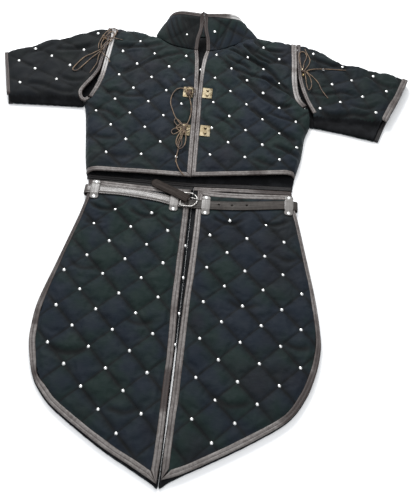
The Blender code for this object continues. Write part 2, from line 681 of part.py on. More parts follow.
def ribbon(name, path, width, thickness, material, across=Vector((0, 1, 0))):
    """A strap of even width and thickness along a path, lying flat across it."""
    rows = [0, 1]
    flat = [Vector((k, r)) for k in range(len(path)) for r in rows]
    faces = [(2 * k, 2 * k + 1, 2 * k + 3, 2 * k + 2) for k in range(len(path) - 1)]

    def at(p, side):
        k = round(p.x)
        along = (path[min(k + 1, len(path) - 1)] - path[max(k - 1, 0)]).normalized()
        sideways = (across - along * across.dot(along)).normalized()
        up = along.cross(sideways)
        return path[k] + sideways * ((p.y - 0.5) * width) + up * (side * thickness / 2)

    return wall(name, flat, faces, lambda p: at(p, 1), lambda p: at(p, -1), material)


def make_belt(leather, nickel):
    level = BELT_BASE + BELT_THICK / 2
    right_run = [raised(p.x, p.y, level) for p in spline(BELT_RUN_RIGHT, 30)]
    left_run = [raised(p.x, p.y, level) for p in spline(BELT_RUN_LEFT, 30)]
    turn_right = [Vector(p) for p in reversed(BELT_TURN_RIGHT)]
    turn_left = [Vector(p) for p in BELT_TURN_LEFT]
    ribbon("belt_right", turn_right + right_run, BELT_WIDTH, BELT_THICK, leather)
    ribbon("belt_left", left_run + turn_left, BELT_WIDTH, BELT_THICK, leather)
    rear_start = turn_right[0] + Vector((2 * GAP, 0, 0))
    rear_end = turn_left[-1] - Vector((2 * GAP, 0, 0))
    ribbon("belt_rear", [rear_start, rear_end], BELT_WIDTH, BELT_THICK, leather)
    tail = [Vector(p) for p in BELT_TAIL]
    ribbon("belt_tail", tail, BELT_WIDTH, BELT_THICK, leather, across=Vector((0.42, 0.9, 0)))
    make_buckle(nickel)
    for name, x, y, length in TABS:
        make_tab(name, x, y, length, leather, nickel)


def make_tab(name, x, y, length, leather, nickel):
    """A leather keeper riveted to the skirt above and below the belt."""
    foot = BELT_BASE + TAB_THICK / 2
    over = BELT_BASE + BELT_THICK + GAP + TAB_THICK / 2
    near = BELT_WIDTH / 2 + TAB_CLEAR
    far = near + TAB_SLOPE
    half = length / 2
    path = [raised(x, y - half, foot), raised(x, y - far, foot), raised(x, y - near, over),
            raised(x, y + near, over), raised(x, y + far, foot), raised(x, y + half, foot)]
    ribbon("belt_tab_" + name, path, TAB_WIDTH, TAB_THICK, leather, across=Vector((1, 0, 0)))
    for end, sign in (("top", 1), ("bottom", -1)):
        bpy.ops.mesh.primitive_cone_add(vertices=12, radius1=RIVET_RADIUS * MM,
                                        radius2=RIVET_RADIUS * 0.55 * MM, depth=RIVET_HEIGHT * MM)
        rivet = bpy.context.object
        rivet.name = "rivet_" + name + "_" + end
        height = BELT_BASE + TAB_THICK + GAP + RIVET_HEIGHT / 2
        place = raised(x, y + sign * (half - RIVET_INSET), height)
        settle(rivet, place, nickel)


def settle(obj, place, material):
    """Places a primitive in the part's collection with its material."""
    obj.location = place * MM
    obj.data.materials.clear()
    obj.data.materials.append(material)
    for holder in list(obj.users_collection):
        holder.objects.unlink(obj)
    collection.objects.link(obj)
    obj.parent = frame_empty


def tube(name, path, diameter, material, cyclic=False, resolution=2):
    curve = bpy.data.curves.new(name, "CURVE")
    curve.dimensions = "3D"
    curve.bevel_depth = diameter / 2 * MM
    curve.bevel_resolution = resolution
    curve.use_fill_caps = not cyclic
    line = curve.splines.new("POLY")
    line.points.add(len(path) - 1)
    for point, p in zip(line.points, path):
        point.co = (p.x * MM, p.y * MM, p.z * MM, 1.0)
    line.use_cyclic_u = cyclic
    curve.materials.append(material)
    obj = bpy.data.objects.new(name, curve)
    collection.objects.link(obj)
    obj.parent = frame_empty
    return obj


def make_buckle(nickel):
    """A D-shaped wire frame with its prong across it."""
    height = BELT_BASE + BELT_THICK + GAP + BUCKLE_WIRE / 2
    path = [raised(BUCKLE_BAR_X, BUCKLE_Y - BUCKLE_HALF, height), raised(BUCKLE_BAR_X, BUCKLE_Y, height),
            raised(BUCKLE_BAR_X, BUCKLE_Y + BUCKLE_HALF, height)]
    steps = 10
    for k in range(steps + 1):
        angle = math.pi / 2 - math.pi * k / steps
        path.append(raised(BUCKLE_CURVE_X + BUCKLE_HALF * math.cos(angle),
                           BUCKLE_Y + BUCKLE_HALF * math.sin(angle), height))
    tube("buckle_frame", path, BUCKLE_WIRE, nickel, cyclic=True)
    top = height + BUCKLE_WIRE / 2 + GAP + PRONG_WIRE / 2
    prong = [raised(BUCKLE_CURVE_X + 3, BUCKLE_Y + 4, top),
             raised(BUCKLE_CURVE_X + BUCKLE_HALF + 1, BUCKLE_Y + 1, top)]
    tube("buckle_prong", prong, PRONG_WIRE, nickel)


def make_plates(brass):
    for name, edge, y, side in PLATES:
        x = edge + side * PLATE_WIDTH / 2
        bpy.ops.mesh.primitive_cube_add(size=1)
        plate = bpy.context.object
        plate.name = "plate_" + name
        plate.data.transform(scaling(PLATE_WIDTH, PLATE_HEIGHT, PLATE_THICK))
        for sign in (1, -1):
            add_boolean(plate, sign * EYELET_SPACING / 2, EYELET_RADIUS, PLATE_THICK + 2 * EYELET_LIP, "UNION")
            add_boolean(plate, sign * EYELET_SPACING / 2, EYELET_BORE, 4 * PLATE_THICK, "DIFFERENCE")
        settle(plate, raised(x, y, JACKET_TOP + BINDING_LIFT + GAP + PLATE_THICK / 2), brass)


def scaling(x, y, z):
    return Matrix.Diagonal((x * MM, y * MM, z * MM, 1.0))


def add_boolean(plate, y, radius, depth, operation):
    """Joins or cuts an upright cylinder in a plate, in the plate's own frame."""
    bpy.ops.mesh.primitive_cylinder_add(vertices=10, radius=radius * MM, depth=depth * MM)
    tool = bpy.context.object
    tool.name = plate.name + "_" + operation.lower() + "_tool"
    tool.location = (0, y * MM, 0)
    tool.parent = plate
    tool.hide_render = True
    tool.display_type = "WIRE"
    for holder in list(tool.users_collection):
        holder.objects.unlink(tool)
    cutters.objects.link(tool)
    change = plate.modifiers.new(operation.title(), "BOOLEAN")
    change.object = tool
    change.operation = operation
    change.solver = "EXACT"


def make_laces(material):
    level = JACKET_TOP + LACE / 2
    laces = (
        ("lace_front_loop", FRONT_LACE_LOOP),
        ("lace_front_bow", FRONT_LACE_BOW),
        ("lace_front_tail", FRONT_LACE_TAIL),
        ("lace_right_bow", RIGHT_LACE_BOW),
        ("lace_right_loop", RIGHT_LACE_LOOP),
        ("lace_left_tails", LEFT_LACE_TAILS),
        ("lace_left_loop", LEFT_LACE_LOOP),
    )
    for name, rows in laces:
        path = [raised(x, y, z + level) for x, y, z in spline(rows, LACE_STEP)]
        tube(name, path, LACE, material)
    for name, x, y, z, half in KNOTS:
        bpy.ops.mesh.primitive_uv_sphere_add(segments=10, ring_count=6, radius=1)
        knot = bpy.context.object
        knot.name = name
        knot.data.transform(scaling(*half))
        settle(knot, raised(x, y, z + level), material)


def centre_on_origin():
    """Moves the part so that its box stands centred on the origin, on z = 0."""
    bpy.context.view_layer.update()
    graph = bpy.context.evaluated_depsgraph_get()
    low = Vector((1e9, 1e9))
    high = Vector((-1e9, -1e9))
    for obj in collection.objects:
        if obj.type not in {"MESH", "CURVE"}:
            continue
        mesh = obj.evaluated_get(graph).to_mesh()
        for v in mesh.vertices:
            p = obj.matrix_world @ v.co
            low = Vector((min(low.x, p.x), min(low.y, p.y)))
            high = Vector((max(high.x, p.x), max(high.y, p.y)))
    middle = (low + high) / 2
    frame_empty.location = (-middle.x, -middle.y, 0)
    print("centre shift mm", round(middle.x / MM, 3), round(middle.y / MM, 3))


clear_scene()
collection = bpy.data.collections.new("gambeson")
bpy.context.scene.collection.children.link(collection)
cutters = bpy.data.collections.new("cutters")
bpy.context.scene.collection.children.link(cutters)
frame_empty = bpy.data.objects.new("laid_frame", None)
collection.objects.link(frame_empty)
materials = {name: make_material(name) for name in COLOURS}

make_jacket(materials["cloth"], materials["leather_grey"])
make_collar(materials["cloth"], materials["leather_grey"])
make_sleeves(materials["cloth"], materials["leather_grey"])
belt_line = [p.to_2d() for p in spline(BELT_RUN_RIGHT, 30) + spline(BELT_RUN_LEFT, 30)]
make_skirt(materials["cloth"], materials["leather_grey"], belt_line)
make_belt(materials["leather_belt"], materials["nickel"])
make_plates(materials["brass"])
make_laces(materials["lace"])
centre_on_origin()
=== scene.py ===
import math

import bpy
import numpy as np
from mathutils import Matrix, Vector


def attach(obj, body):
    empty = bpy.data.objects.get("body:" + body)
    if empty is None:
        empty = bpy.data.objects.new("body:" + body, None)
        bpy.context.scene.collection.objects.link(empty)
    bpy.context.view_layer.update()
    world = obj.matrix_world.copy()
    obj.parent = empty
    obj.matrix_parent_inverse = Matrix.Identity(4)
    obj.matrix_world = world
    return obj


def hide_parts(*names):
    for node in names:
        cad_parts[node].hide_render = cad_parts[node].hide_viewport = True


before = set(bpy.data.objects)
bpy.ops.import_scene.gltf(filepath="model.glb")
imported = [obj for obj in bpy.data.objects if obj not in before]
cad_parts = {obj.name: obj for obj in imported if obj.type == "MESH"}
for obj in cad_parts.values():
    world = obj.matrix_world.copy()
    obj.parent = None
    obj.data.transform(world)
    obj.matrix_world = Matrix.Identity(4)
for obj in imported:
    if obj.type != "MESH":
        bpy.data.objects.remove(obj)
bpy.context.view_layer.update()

print("frame loaded")

# Quilted arming jacket and split skirt, laid flat. Lengths here are in plan millimetres:
# x to the wearer's left, y to the collar, y = 0 at the front hem, z up from the floor.
layout = {
    "shiftX": 10.5, "shiftY": -83.75,
    "square": 65.0, "cells": 14,
    "frontBase": 8.3, "backWall": 8.0, "seamWall": 5.0, "hollow": 16.0,
    "edgeStep": 2.0, "sideRun": 34.0, "sideLap": 7.0,
    "lace": 3.0,
}
jacketTop = layout["frontBase"] + layout["hollow"] + layout["seamWall"]
skirtTop = layout["frontBase"] + layout["seamWall"]

# quilting of each panel: one stud and the turn of its squares in degrees
quilting = {
    "frontRight": (-146.3, 423.5, 43.5),
    "frontLeft": (129.6, 261.8, 43.4),
    "skirtRight": (-134.7, -158.8, 45.6),
    "skirtLeft": (154.6, -161.0, 45.3),
    "sleeveRight": (-437.0, 377.0, 26.0),
    "sleeveLeft": (427.0, 392.0, 65.0),
    "back": (-10.0, 401.0, 45.0),
    "skirtBack": (8.0, -283.0, 45.0),
}

# edges of the cut, as rows of (x, y)
frontEdgeRight = [(-0.3, 0), (-4, 150), (-6, 220), (-9, 310), (-16, 410), (-22, 455)]
frontEdgeLeft = [(0.3, 2), (-3.2, 150), (-5, 220), (-7.6, 310), (-6, 410), (1, 456)]
hemRight = [(-272, -9), (-130, -3), (-0.3, 0)]
hemLeft = [(0.3, 2), (130, 20), (271, 41)]
sideRight = [(-272, -9), (-284, 48), (-292, 96), (-301, 148), (-310, 196), (-316, 216)]
sideLeft = [(271, 41), (285, 98), (290, 133), (296, 178), (308, 214)]
armholeRight = [(-316, 216), (-311, 236), (-302.5, 258), (-293.5, 292), (-288.5, 330), (-286, 392),
                (-283, 460),
                (-283, 526)]
armholeLeft = [(308, 214), (305, 250), (297, 284), (281, 303), (273, 339), (269.5, 384), (269.5, 441),
               (267.5, 500),
               (267, 531)]
shoulderRight = [(-283, 526), (-216, 519), (-153, 505)]
shoulderLeft = [(267, 531), (209, 531), (151, 538)]
neckRight = [(-153, 505), (-135, 488), (-101, 467), (-60, 458), (-22, 455)]
neckLeft = [(151, 538), (115, 510), (75, 483), (38, 462), (1, 456)]
neckBack = [(-153, 505), (-130, 519), (-90, 528), (0, 536), (90, 541), (130, 543), (151, 538)]
hemBack = [(-268, -20.6), (-130, -18.3), (9, -16.3), (130, -8.3), (265, -1.2)]
backArmholeRight = [(-316, 216), (-310, 262), (-300, 316), (-289, 392), (-284, 460), (-283, 526)]
backArmholeLeft = [(308, 214), (306, 255), (295, 300), (278, 349), (268, 415), (267, 489), (267, 531)]
headRight = [(-320, 219), (-325, 238), (-327.5, 256), (-320, 278), (-305, 309), (-293, 340), (-289.6, 372),
             (-287.6, 415), (-285, 462), (-283.8, 520)]
headLeft = [(322, 222), (316, 254), (306, 275), (292.5, 308), (281.5, 345), (273.5, 388), (271, 440),
            (269.4, 491),
            (268, 526)]
# the strips round the armholes, which stop short of the folds
armholeStripRight = [(-308, 240)] + armholeRight[2:]
armholeStripLeft = [(298, 280)] + armholeLeft[3:]
headStripRight = [(-311, 238), (-317, 233.5), (-323.5, 239)] + headRight[2:]
headStripLeft = headLeft[1:]
underHeadRight = [(-318, 218), (-311, 262), (-301, 316), (-290, 392), (-284.6, 460), (-283.5, 520)]
underHeadLeft = [(309, 218), (307, 255), (296, 300), (279, 349), (269, 415), (267.6, 489), (267.5, 526)]
sleeveTopRight = [(-283.8, 520), (-311, 511), (-362, 488), (-413, 460), (-457, 445), (-488, 424), (-535, 398),
                  (-574, 380)]
sleeveTopLeft = [(267.5, 526), (287, 520), (338, 502), (376, 474), (406, 458), (432, 456), (485, 444),
                 (543, 435), (595, 421)]
cuffRight = [(-574, 380), (-554, 310), (-539, 254), (-527, 208)]
cuffLeft = [(595, 421), (565, 347), (539, 291), (520, 248), (500, 194)]
lowRight = [(-527, 208), (-430, 214), (-320, 219)]
lowLeft = [(500, 194), (451, 202), (396, 212), (322, 222)]
foldRight = [(-531, 219), (-486, 223), (-446, 228), (-392, 233), (-332, 232), (-318, 231)]
foldLeft = [(300, 245), (330, 247), (396, 249), (476, 250), (528, 251)]
waistRight = [(-262, -30), (-220, -29), (-103, -32), (3, -31)]
waistLeft = [(21, -29), (104, -30), (245, -20), (264, -21)]
skirtSideRight = [(-262, -30), (-258, -70), (-266, -130), (-279, -194), (-296, -275), (-318, -378),
                  (-321, -440), (-316, -489), (-295, -552), (-265, -594), (-225, -629), (-123, -693),
                  (-56, -727), (1, -757)]
skirtSideLeft = [(264, -21), (270, -55), (280, -95), (297, -176), (324, -310), (336, -400), (336, -445),
                 (324, -502), (302, -554), (266, -604), (197, -652), (116, -699), (50, -734), (10, -749)]
splitRight = [(3, -31), (3, -200), (3, -346), (6, -470), (5, -584), (4, -700), (1, -757)]
splitLeft = [(21, -29), (20, -200), (16, -346), (14, -470), (12.5, -584), (9.5, -700), (10, -749)]
backWaistRight = [(-261, -21.3), (-130, -19), (8.4, -17)]
backWaistLeft = [(9.8, -17), (130, -9), (263, -2)]
backSideRight = [(-261, -21.3), (-257, -70), (-265, -130), (-278, -194), (-295, -275), (-317, -378),
                 (-320, -440), (-316.3, -490), (-296.5, -554), (-267, -597), (-227, -632), (-125, -697),
                 (-57.5, -732.5), (5.0, -765)]
backSideLeft = [(263, -2), (269, -55), (279, -95), (296, -176), (323, -310), (335, -400), (336, -448),
                (324, -505), (302.5, -557), (267, -606), (198, -654), (117, -701.5), (51, -737), (5.4, -765)]
backSplitRight = [(9.0, -17), (9.0, -200), (9.2, -420), (8.6, -470), (8, -540), (7.2, -620), (6.6, -690),
                  (5.6, -735), (5.0, -765)]
backSplitLeft = [(9.4, -17), (9.4, -200), (9.7, -420), (11.2, -470), (11.4, -540), (10.0, -620), (7.4, -690),
                 (6.0, -735), (5.4, -765)]

# the stand collar, bent round the neck: lower x, y, z and upper x, y, z at the middle of its wall
collarRows = [
    (-22.5, 456.0, 26.8, -15.5, 556, 76), (-60, 459.2, 26.8, -46, 560, 75), (-101, 468.2, 26.8, -79, 567, 69),
    (-131, 487.6, 25.0, -101, 573, 57), (-146, 501.5, 18.5, -112, 577, 43),
    (-149, 508.5, 11.0, -117, 581, 29),
    (-144, 515.5, 4.6, -113, 586, 13), (-129, 523.0, 2.8, -98, 589, 3.2), (-90, 531.0, 2.8, -70, 590, 2.8),
    (0, 538.6, 2.8, 0, 594, 2.8), (90, 544.0, 2.8, 58, 598, 2.8), (126, 546.4, 2.8, 76, 600, 3.2),
    (141, 545.0, 4.6, 90, 598, 13), (146.5, 539.5, 11.0, 93, 595, 28), (142, 533.0, 18.5, 88, 591, 42),
    (114, 511.0, 25.0, 76, 585, 57), (74.5, 484.2, 26.8, 54, 575, 69), (37.5, 463.2, 26.8, 20, 563, 75),
    (1.5, 457.0, 26.8, -12.8, 557, 76),
]

# the belt, its keepers and plates
beltBase = skirtTop + 1.0 + 0.3
beltSet = {
    "width": 25.0, "thick": 2.5,
    "runRight": [(-261.5, -58.5), (-240, -58), (-177, -57), (-125, -60), (-73, -66), (-34, -74), (-4.2, -77)],
    "runLeft": [(-2.2, -77), (30, -75), (60, -74), (106, -71), (144, -67), (194, -60), (240, -53),
                (273, -52)],
    "turnRight": [(-265.5, -58.6, 14.2), (-266.8, -58.6, 11), (-266.8, -58.6, 5.5), (-264.8, -58.6, 2.2),
                  (-262, -58.6, 1.35), (-250, -58.6, 1.35)],
    "turnLeft": [(277, -52, 14.2), (278.3, -52, 11), (278.3, -52, 5.5), (276.3, -52, 2.2),
                 (273.5, -52, 1.35), (260, -52, 1.35)],
    "tail": [(-1, -66, 22.4), (-22, -57, 24.0), (-50, -43, 21.4), (-75, -31, 19.6), (-98, -19, 18.9)],
    "holes": [(78, -71.5), (111, -69.5), (149, -65.5)],
    "keepers": [("right_outer", -240, -58, 56), ("right_inner", -36, -73.6, 56),
                ("left_inner", 45, -75.5, 57),
                ("left_outer", 256, -53, 58)],
    "keeperWidth": 23.0, "keeperThick": 1.8, "rivetInset": 5.0,
    "rivet": {"radius": 4.9, "height": 2.0, "segments": 20},
}
plateSet = {
    "width": 28.0, "height": 38.0, "thick": 1.5, "bevel": 0.9, "ring": 3.6, "ringWire": 1.05, "bore": 2.6,
    "spacing": 18.0,
    "places": [("upper_right", -21.3, 286, -1), ("upper_left", 4.4, 289, 1),
               ("lower_right", -16.6, 150, -1), ("lower_left", 9.1, 153, 1)],
}

# laces: rows of (x, y, height over the cloth's seams)
laceRoutes = {
    "lace_front_loop": [(-36, 277, 5.8), (-50, 293, 5.8), (-67, 288, 5.8), (-78, 265, 5.8), (-79, 236, 5.8),
                        (-71, 211, 5.8), (-61, 187, 5.8), (-47, 167, 6.2), (-36, 157.5, 6.3), (-29, 162, 6.3),
                        (-24, 176, 5.8), (-20.5, 199, 5.8), (-21, 225, 5.8), (-26, 250, 5.8),
                        (-31, 268, 5.8)],
    "lace_front_bow": [(-36.7, 140.9, 8.4), (-47, 119, 9), (-49, 95, 9.2), (-38, 78, 9.2), (-27, 90, 9.2),
                       (-25, 115, 9), (-30.6, 140.8, 8.4)],
    "lace_front_tail": [(-33.7, 140.1, 4.8), (-41, 100, 5.7), (-42, 73, 5.7), (-44, 46, 5.7), (-38, 24, 5.7),
                        (-27, 6, 5), (-17, -4, 4)],
    "lace_right_bow": [(-303.9, 411, 5.7), (-320, 396, 5.7), (-342, 377, 5.7), (-360, 345, 5.7),
                       (-366, 326, 5.7),
                       (-355, 323, 5.7), (-340, 345, 5.7), (-322, 376, 5.7), (-301, 406, 5.7)],
    "lace_right_loop": [(-301, 415.6, 5.7), (-303, 440, 5.7), (-296, 468, 4.4), (-284, 492, 2.9),
                        (-273, 488, 2.9), (-275, 462, 4.9), (-286, 436, 5.7), (-296.3, 415.1, 5.7)],
    "lace_left_tails": [(409, 423, 5.7), (363, 421, 5.7), (325, 417, 5.7), (302, 410, 5.7), (295.9, 403, 5.7),
                        (301, 396, 5.7), (311, 387, 5.7), (328, 365, 5.7), (339, 336, 5.7), (356, 308, 5.7)],
    "lace_left_loop": [(284.7, 409, 5.7), (288, 436, 5.7), (295, 462, 5), (290, 482, 3.6), (277, 482, 3.2),
                       (273, 460, 4.6), (277, 432, 5.7), (281.4, 408, 5.7)],
}
# more strands, tails and windings, with their thickness
extraStrands = {
    "right_outer_strand": ([(-264, 492, 4.0), (-270, 506, 2.0), (-281, 508, 2.0), (-295, 490, 4.6),
                            (-305, 462, 6.6),
                            (-310, 435, 6.6), (-308, 416, 5.9)], 2.6),
    "right_inner_strand": ([(-266, 500, 3.4), (-270, 474, 5.4), (-282, 457, 6.2), (-293, 437, 6.8),
                            (-301, 418, 6.0)], 2.6),
    "right_tail": ([(-306, 470, 6.4), (-289, 466, 6.9), (-267, 463, 6.9), (-244, 459, 6.8)], 2.4),
    "right_short_tail": ([(-297, 404, 6.4), (-287, 392, 6.8), (-276, 383, 6.9), (-267, 366, 6.8)], 2.4),
    "right_low_strand": ([(-299, 404, 6.2), (-303, 386, 6.2), (-303, 362, 6.2), (-309, 340, 6.0),
                          (-317, 318, 5.6)], 2.2),
    "front_small_loop": ([(-40, 152, 6.8), (-53, 158, 6.9), (-62, 171, 6.8), (-59, 180, 6.8), (-48, 173, 7.0),
                          (-39, 160, 7.2)], 2.8),
    "front_second_bow": ([(-34, 138, 7.4), (-41, 118, 7.4), (-45, 98, 7.4), (-40, 84, 7.6), (-34, 94, 8.0),
                          (-36, 118, 8.2), (-32, 138, 8.0)], 2.4),
    "plate_upper_strand": ([(-22, 268, 4.2), (-33, 276, 6.6), (-43, 289, 6.8), (-36, 300, 6.6),
                            (-22, 299, 5.4),
                            (-15, 288, 5.2), (-24, 276, 6.2)], 2.6),
    "plate_low_strand": ([(-20, 163, 4.6), (-31, 166, 7.4), (-45, 162, 7.6), (-54, 150, 7.0), (-46, 141, 7.2),
                          (-30, 140, 7.8), (-18, 147, 6.6)], 2.6),
    "plate_low_loop": ([(-42, 150, 7.6), (-58, 146, 6.9), (-66, 136, 6.8), (-60, 126, 6.8), (-49, 133, 7.0),
                        (-40, 143, 7.6)], 2.6),
    "left_low_loop": ([(290, 401, 5.9), (293, 378, 5.9), (296, 350, 5.9), (302, 332, 5.9), (310, 350, 5.9),
                       (306, 379, 5.9), (295, 400, 5.9)], 2.8),
    "left_high_strand": ([(290, 408, 6.0), (301, 430, 5.8), (305, 452, 5.2), (297, 476, 4.2),
                          (290, 497, 2.6)], 2.6),
}
knotPlaces = {
    # x, y, height over the seams, half sizes, axis of the winding, turns
    "lace_knot_front": (-33.5, 149, 6.4, (9.0, 8.4, 4.4), (0.1, 1.0), 6),
    "lace_knot_right": (-299, 411, 5.7, (4.2, 4.8, 4.0), (0.3, 1.0), 3),
    "lace_knot_left": (287, 403, 5.7, (6.6, 5.6, 4.0), (1.0, -0.25), 4),
    "plate_winding": (-31, 280, 6.0, (8.5, 12.0, 4.4), (0.35, 1.0), 6),
    "shoulder_winding": (-298, 461, 5.6, (8.0, 5.0, 3.6), (1.0, -0.15), 5),
    "tail_winding": (-43.4, 40, 5.6, (2.6, 5.5, 2.6), (0.1, 1.0), 6),
}

# drape creases pressed into the padding: rows of (x, y), depth, half width
creaseRows = {
    "frontLeft": [
        ([(165, 377), (192, 354), (220, 332), (256, 308), (296, 270)], 5.4, 6.0),
        ([(62, 470), (88, 460), (126, 438), (168, 413), (197, 387), (228, 344), (252, 322)], 4.6, 5.5),
        ([(106, 500), (120, 480), (135, 462), (168, 434), (206, 424)], 4.4, 5.5),
        ([(134, 518), (156, 496), (186, 480), (236, 476)], 3.0, 6.0),
        ([(58, 446), (84, 424), (112, 412), (140, 384)], 3.8, 5.0),
        ([(60, 404), (81, 394), (128, 377), (163, 365), (196, 352)], 3.4, 6.0),
        ([(96, 368), (121, 348), (171, 297), (223, 265), (262, 276)], 4.6, 7.5),
        ([(140, 252), (174, 220), (225, 177), (274, 141)], 3.6, 8.0),
        ([(205, 130), (240, 112), (284, 92)], 2.6, 8.0),
        ([(190, 240), (232, 222), (290, 214)], 2.6, 6.0),
        ([(110, 492), (150, 466), (196, 440), (246, 426)], 3.0, 8.0),
        ([(36, 210), (70, 196), (112, 160)], 1.8, 7.0),
        ([(150, 80), (190, 62), (232, 58)], 1.6, 9.0),
    ],
    "frontRight": [
        ([(-60, 440), (-96, 424), (-146, 400), (-190, 360), (-232, 330)], 2.8, 7.0),
        ([(-118, 470), (-160, 452), (-214, 440), (-262, 436)], 2.6, 7.0),
        ([(-270, 250), (-236, 262), (-196, 250), (-150, 262)], 2.4, 8.0),
        ([(-292, 196), (-250, 190), (-206, 166)], 2.6, 8.0),
        ([(-286, 110), (-240, 96), (-196, 104)], 1.8, 9.0),
        ([(-100, 330), (-70, 300), (-60, 262)], 1.6, 7.0),
        ([(-252, 60), (-200, 40), (-150, 46)], 1.4, 9.0),
    ],
    "skirtRight": [
        ([(-252, -92), (-228, -112), (-196, -116), (-166, -94)], 3.0, 6.0),
        ([(-150, -104), (-122, -122), (-92, -126), (-66, -104)], 2.8, 6.0),
        ([(-70, -112), (-44, -132), (-18, -136)], 2.2, 6.0),
        ([(-262, -150), (-224, -158), (-196, -150)], 1.6, 7.0),
        ([(-276, -262), (-236, -286), (-190, -280)], 1.8, 9.0),
        ([(-120, -402), (-82, -416), (-40, -404)], 1.6, 8.0),
        ([(-282, -486), (-226, -500), (-176, -480)], 1.8, 10.0),
        ([(-130, -610), (-84, -622), (-40, -600)], 1.4, 9.0),
    ],
    "skirtLeft": [
        ([(60, -104), (88, -122), (120, -124), (148, -104)], 2.6, 6.0),
        ([(176, -100), (204, -116), (238, -112), (262, -92)], 2.6, 6.0),
        ([(34, -150), (62, -166), (96, -164)], 1.8, 7.0),
        ([(214, -196), (252, -214), (288, -206)], 1.8, 8.0),
        ([(110, -330), (150, -350), (196, -340)], 1.6, 9.0),
        ([(240, -420), (282, -440), (320, -432)], 1.8, 9.0),
        ([(90, -560), (140, -586), (190, -572)], 1.6, 10.0),
    ],
    "sleeveRight": [
        ([(-312, 440), (-350, 420), (-398, 404), (-440, 408)], 3.4, 7.5),
        ([(-318, 300), (-360, 288), (-404, 300)], 3.2, 7.0),
        ([(-336, 250), (-388, 244), (-440, 262), (-492, 262)], 3.0, 8.0),
        ([(-430, 430), (-470, 396), (-510, 372)], 2.2, 7.0),
        ([(-452, 350), (-486, 330), (-530, 336)], 1.8, 7.0),
    ],
    "sleeveLeft": [
        ([(296, 470), (338, 452), (386, 438), (430, 440)], 3.4, 7.5),
        ([(298, 330), (344, 322), (392, 336), (440, 330)], 3.0, 7.0),
        ([(326, 262), (376, 250), (430, 262), (480, 254)], 3.4, 8.0),
        ([(470, 420), (510, 384), (548, 372)], 2.4, 7.0),
        ([(410, 300), (452, 286), (500, 300)], 2.0, 7.0),
    ],
}


def toWorld(points):
    return (np.asarray(points, float) - (layout["shiftX"], layout["shiftY"], 0.0)) * 0.001


def withEnds(rows):
    return np.vstack([2 * rows[0] - rows[1], rows, 2 * rows[-1] - rows[-2]])


def curvePoint(a, b, c, d, t):
    # a place between b and c on the smooth curve through all four
    return 0.5 * (2 * b + (c - a) * t + (2 * a - 5 * b + 4 * c - d) * t ** 2
                  + (3 * b - a - 3 * c + d) * t ** 3)


def smoothRow(rows, step):
    rows = np.array(rows, float)
    if len(rows) == 2:
        n = max(1, round(np.linalg.norm(rows[1] - rows[0]) / step))
        t = np.linspace(0, 1, n + 1)[:, None]
        return rows[0] * (1 - t) + rows[1] * t
    ends = withEnds(rows)
    out = [rows[:1]]
    for k in range(1, len(ends) - 2):
        a, b, c, d = ends[k - 1:k + 3]
        n = max(1, round(np.linalg.norm(c - b) / step))
        out.append(curvePoint(a, b, c, d, (np.arange(1, n + 1) / n)[:, None]))
    return np.vstack(out)


def joinEdges(edges, step):
    # edges are (rows, reversed) and run round the piece
    runs = []
    for rows, flip in edges:
        run = smoothRow(rows, step)
        runs.append((run[::-1] if flip else run)[:-1])
    return np.vstack(runs)


def closeLoop(loop):
    return np.vstack([loop, loop[:1]])


def runOf(path):
    return np.concatenate([[0], np.cumsum(np.linalg.norm(np.diff(path, axis=0), axis=1))])


def directionOf(path):
    along = np.gradient(path, axis=0)
    along /= np.linalg.norm(along, axis=1)[:, None]
    return along


def distanceTo(points, row):
    best = np.full(len(points), 1e9)
    for a, b in zip(row[:-1], row[1:]):
        along = b - a
        t = np.clip(((points - a) @ along) / max(along @ along, 1e-12), 0, 1)
        best = np.minimum(best, np.linalg.norm(points - a - t[:, None] * along, axis=1))
    return best


def nearestOn(points, row):
    best = np.full(len(points), 1e9)
    place = points.copy()
    for a, b in zip(row[:-1], row[1:]):
        along = b - a
        t = np.clip(((points - a) @ along) / max(along @ along, 1e-12), 0, 1)
        spot = a + t[:, None] * along
        d = np.linalg.norm(points - spot, axis=1)
        near = d < best
        best[near] = d[near]
        place[near] = spot[near]
    return place


def insideLoop(points, loop):
    hit = np.zeros(len(points), bool)
    for a, b in zip(loop, np.roll(loop, -1, axis=0)):
        if a[1] == b[1]:
            continue
        crosses = (a[1] > points[:, 1]) != (b[1] > points[:, 1])
        x = (b[0] - a[0]) * (points[:, 1] - a[1]) / (b[1] - a[1]) + a[0]
        hit ^= crosses & (points[:, 0] < x)
    return hit


def ease(t):
    t = np.clip(t, 0, 1)
    return t * t * (3 - 2 * t)


def quarterRound(t):
    t = np.clip(t, 0, 1)
    return np.sqrt(1 - (1 - t) ** 2)


def hashOf(a, b, seed):
    # an even spread of values from 0 to 1, the same in each run
    v = np.sin(a * 12.9898 + b * 78.233 + seed * 37.719) * 43758.5453
    return v - np.floor(v)


def softNoise(points, size, seed):
    # smooth bumps about size across
    q = points / size
    base = np.floor(q)
    f = ease(q - base)
    value = 0
    for i in (0, 1):
        for j in (0, 1):
            weight = (f[:, 0] if i else 1 - f[:, 0]) * (f[:, 1] if j else 1 - f[:, 1])
            value = value + weight * hashOf(base[:, 0] + i, base[:, 1] + j, seed)
    return value


def quiltFrame(quilt):
    studX, studY, turn = quilting[quilt]
    angle = math.radians(turn)
    along = np.array([math.cos(angle), -math.sin(angle)])
    across = np.array([-math.sin(angle), -math.cos(angle)])
    return np.array([studX, studY]), along, across


def quiltUv(points, quilt):
    origin, along, across = quiltFrame(quilt)
    return np.stack([(points - origin) @ along, (points - origin) @ across], 1) / layout["square"]


def deselectAll():
    if bpy.context.object and bpy.context.object.mode != "OBJECT":
        bpy.ops.object.mode_set(mode="OBJECT")
    bpy.ops.object.select_all(action="DESELECT")


def makeActive(obj):
    deselectAll()
    obj.select_set(True)
    bpy.context.view_layer.objects.active = obj


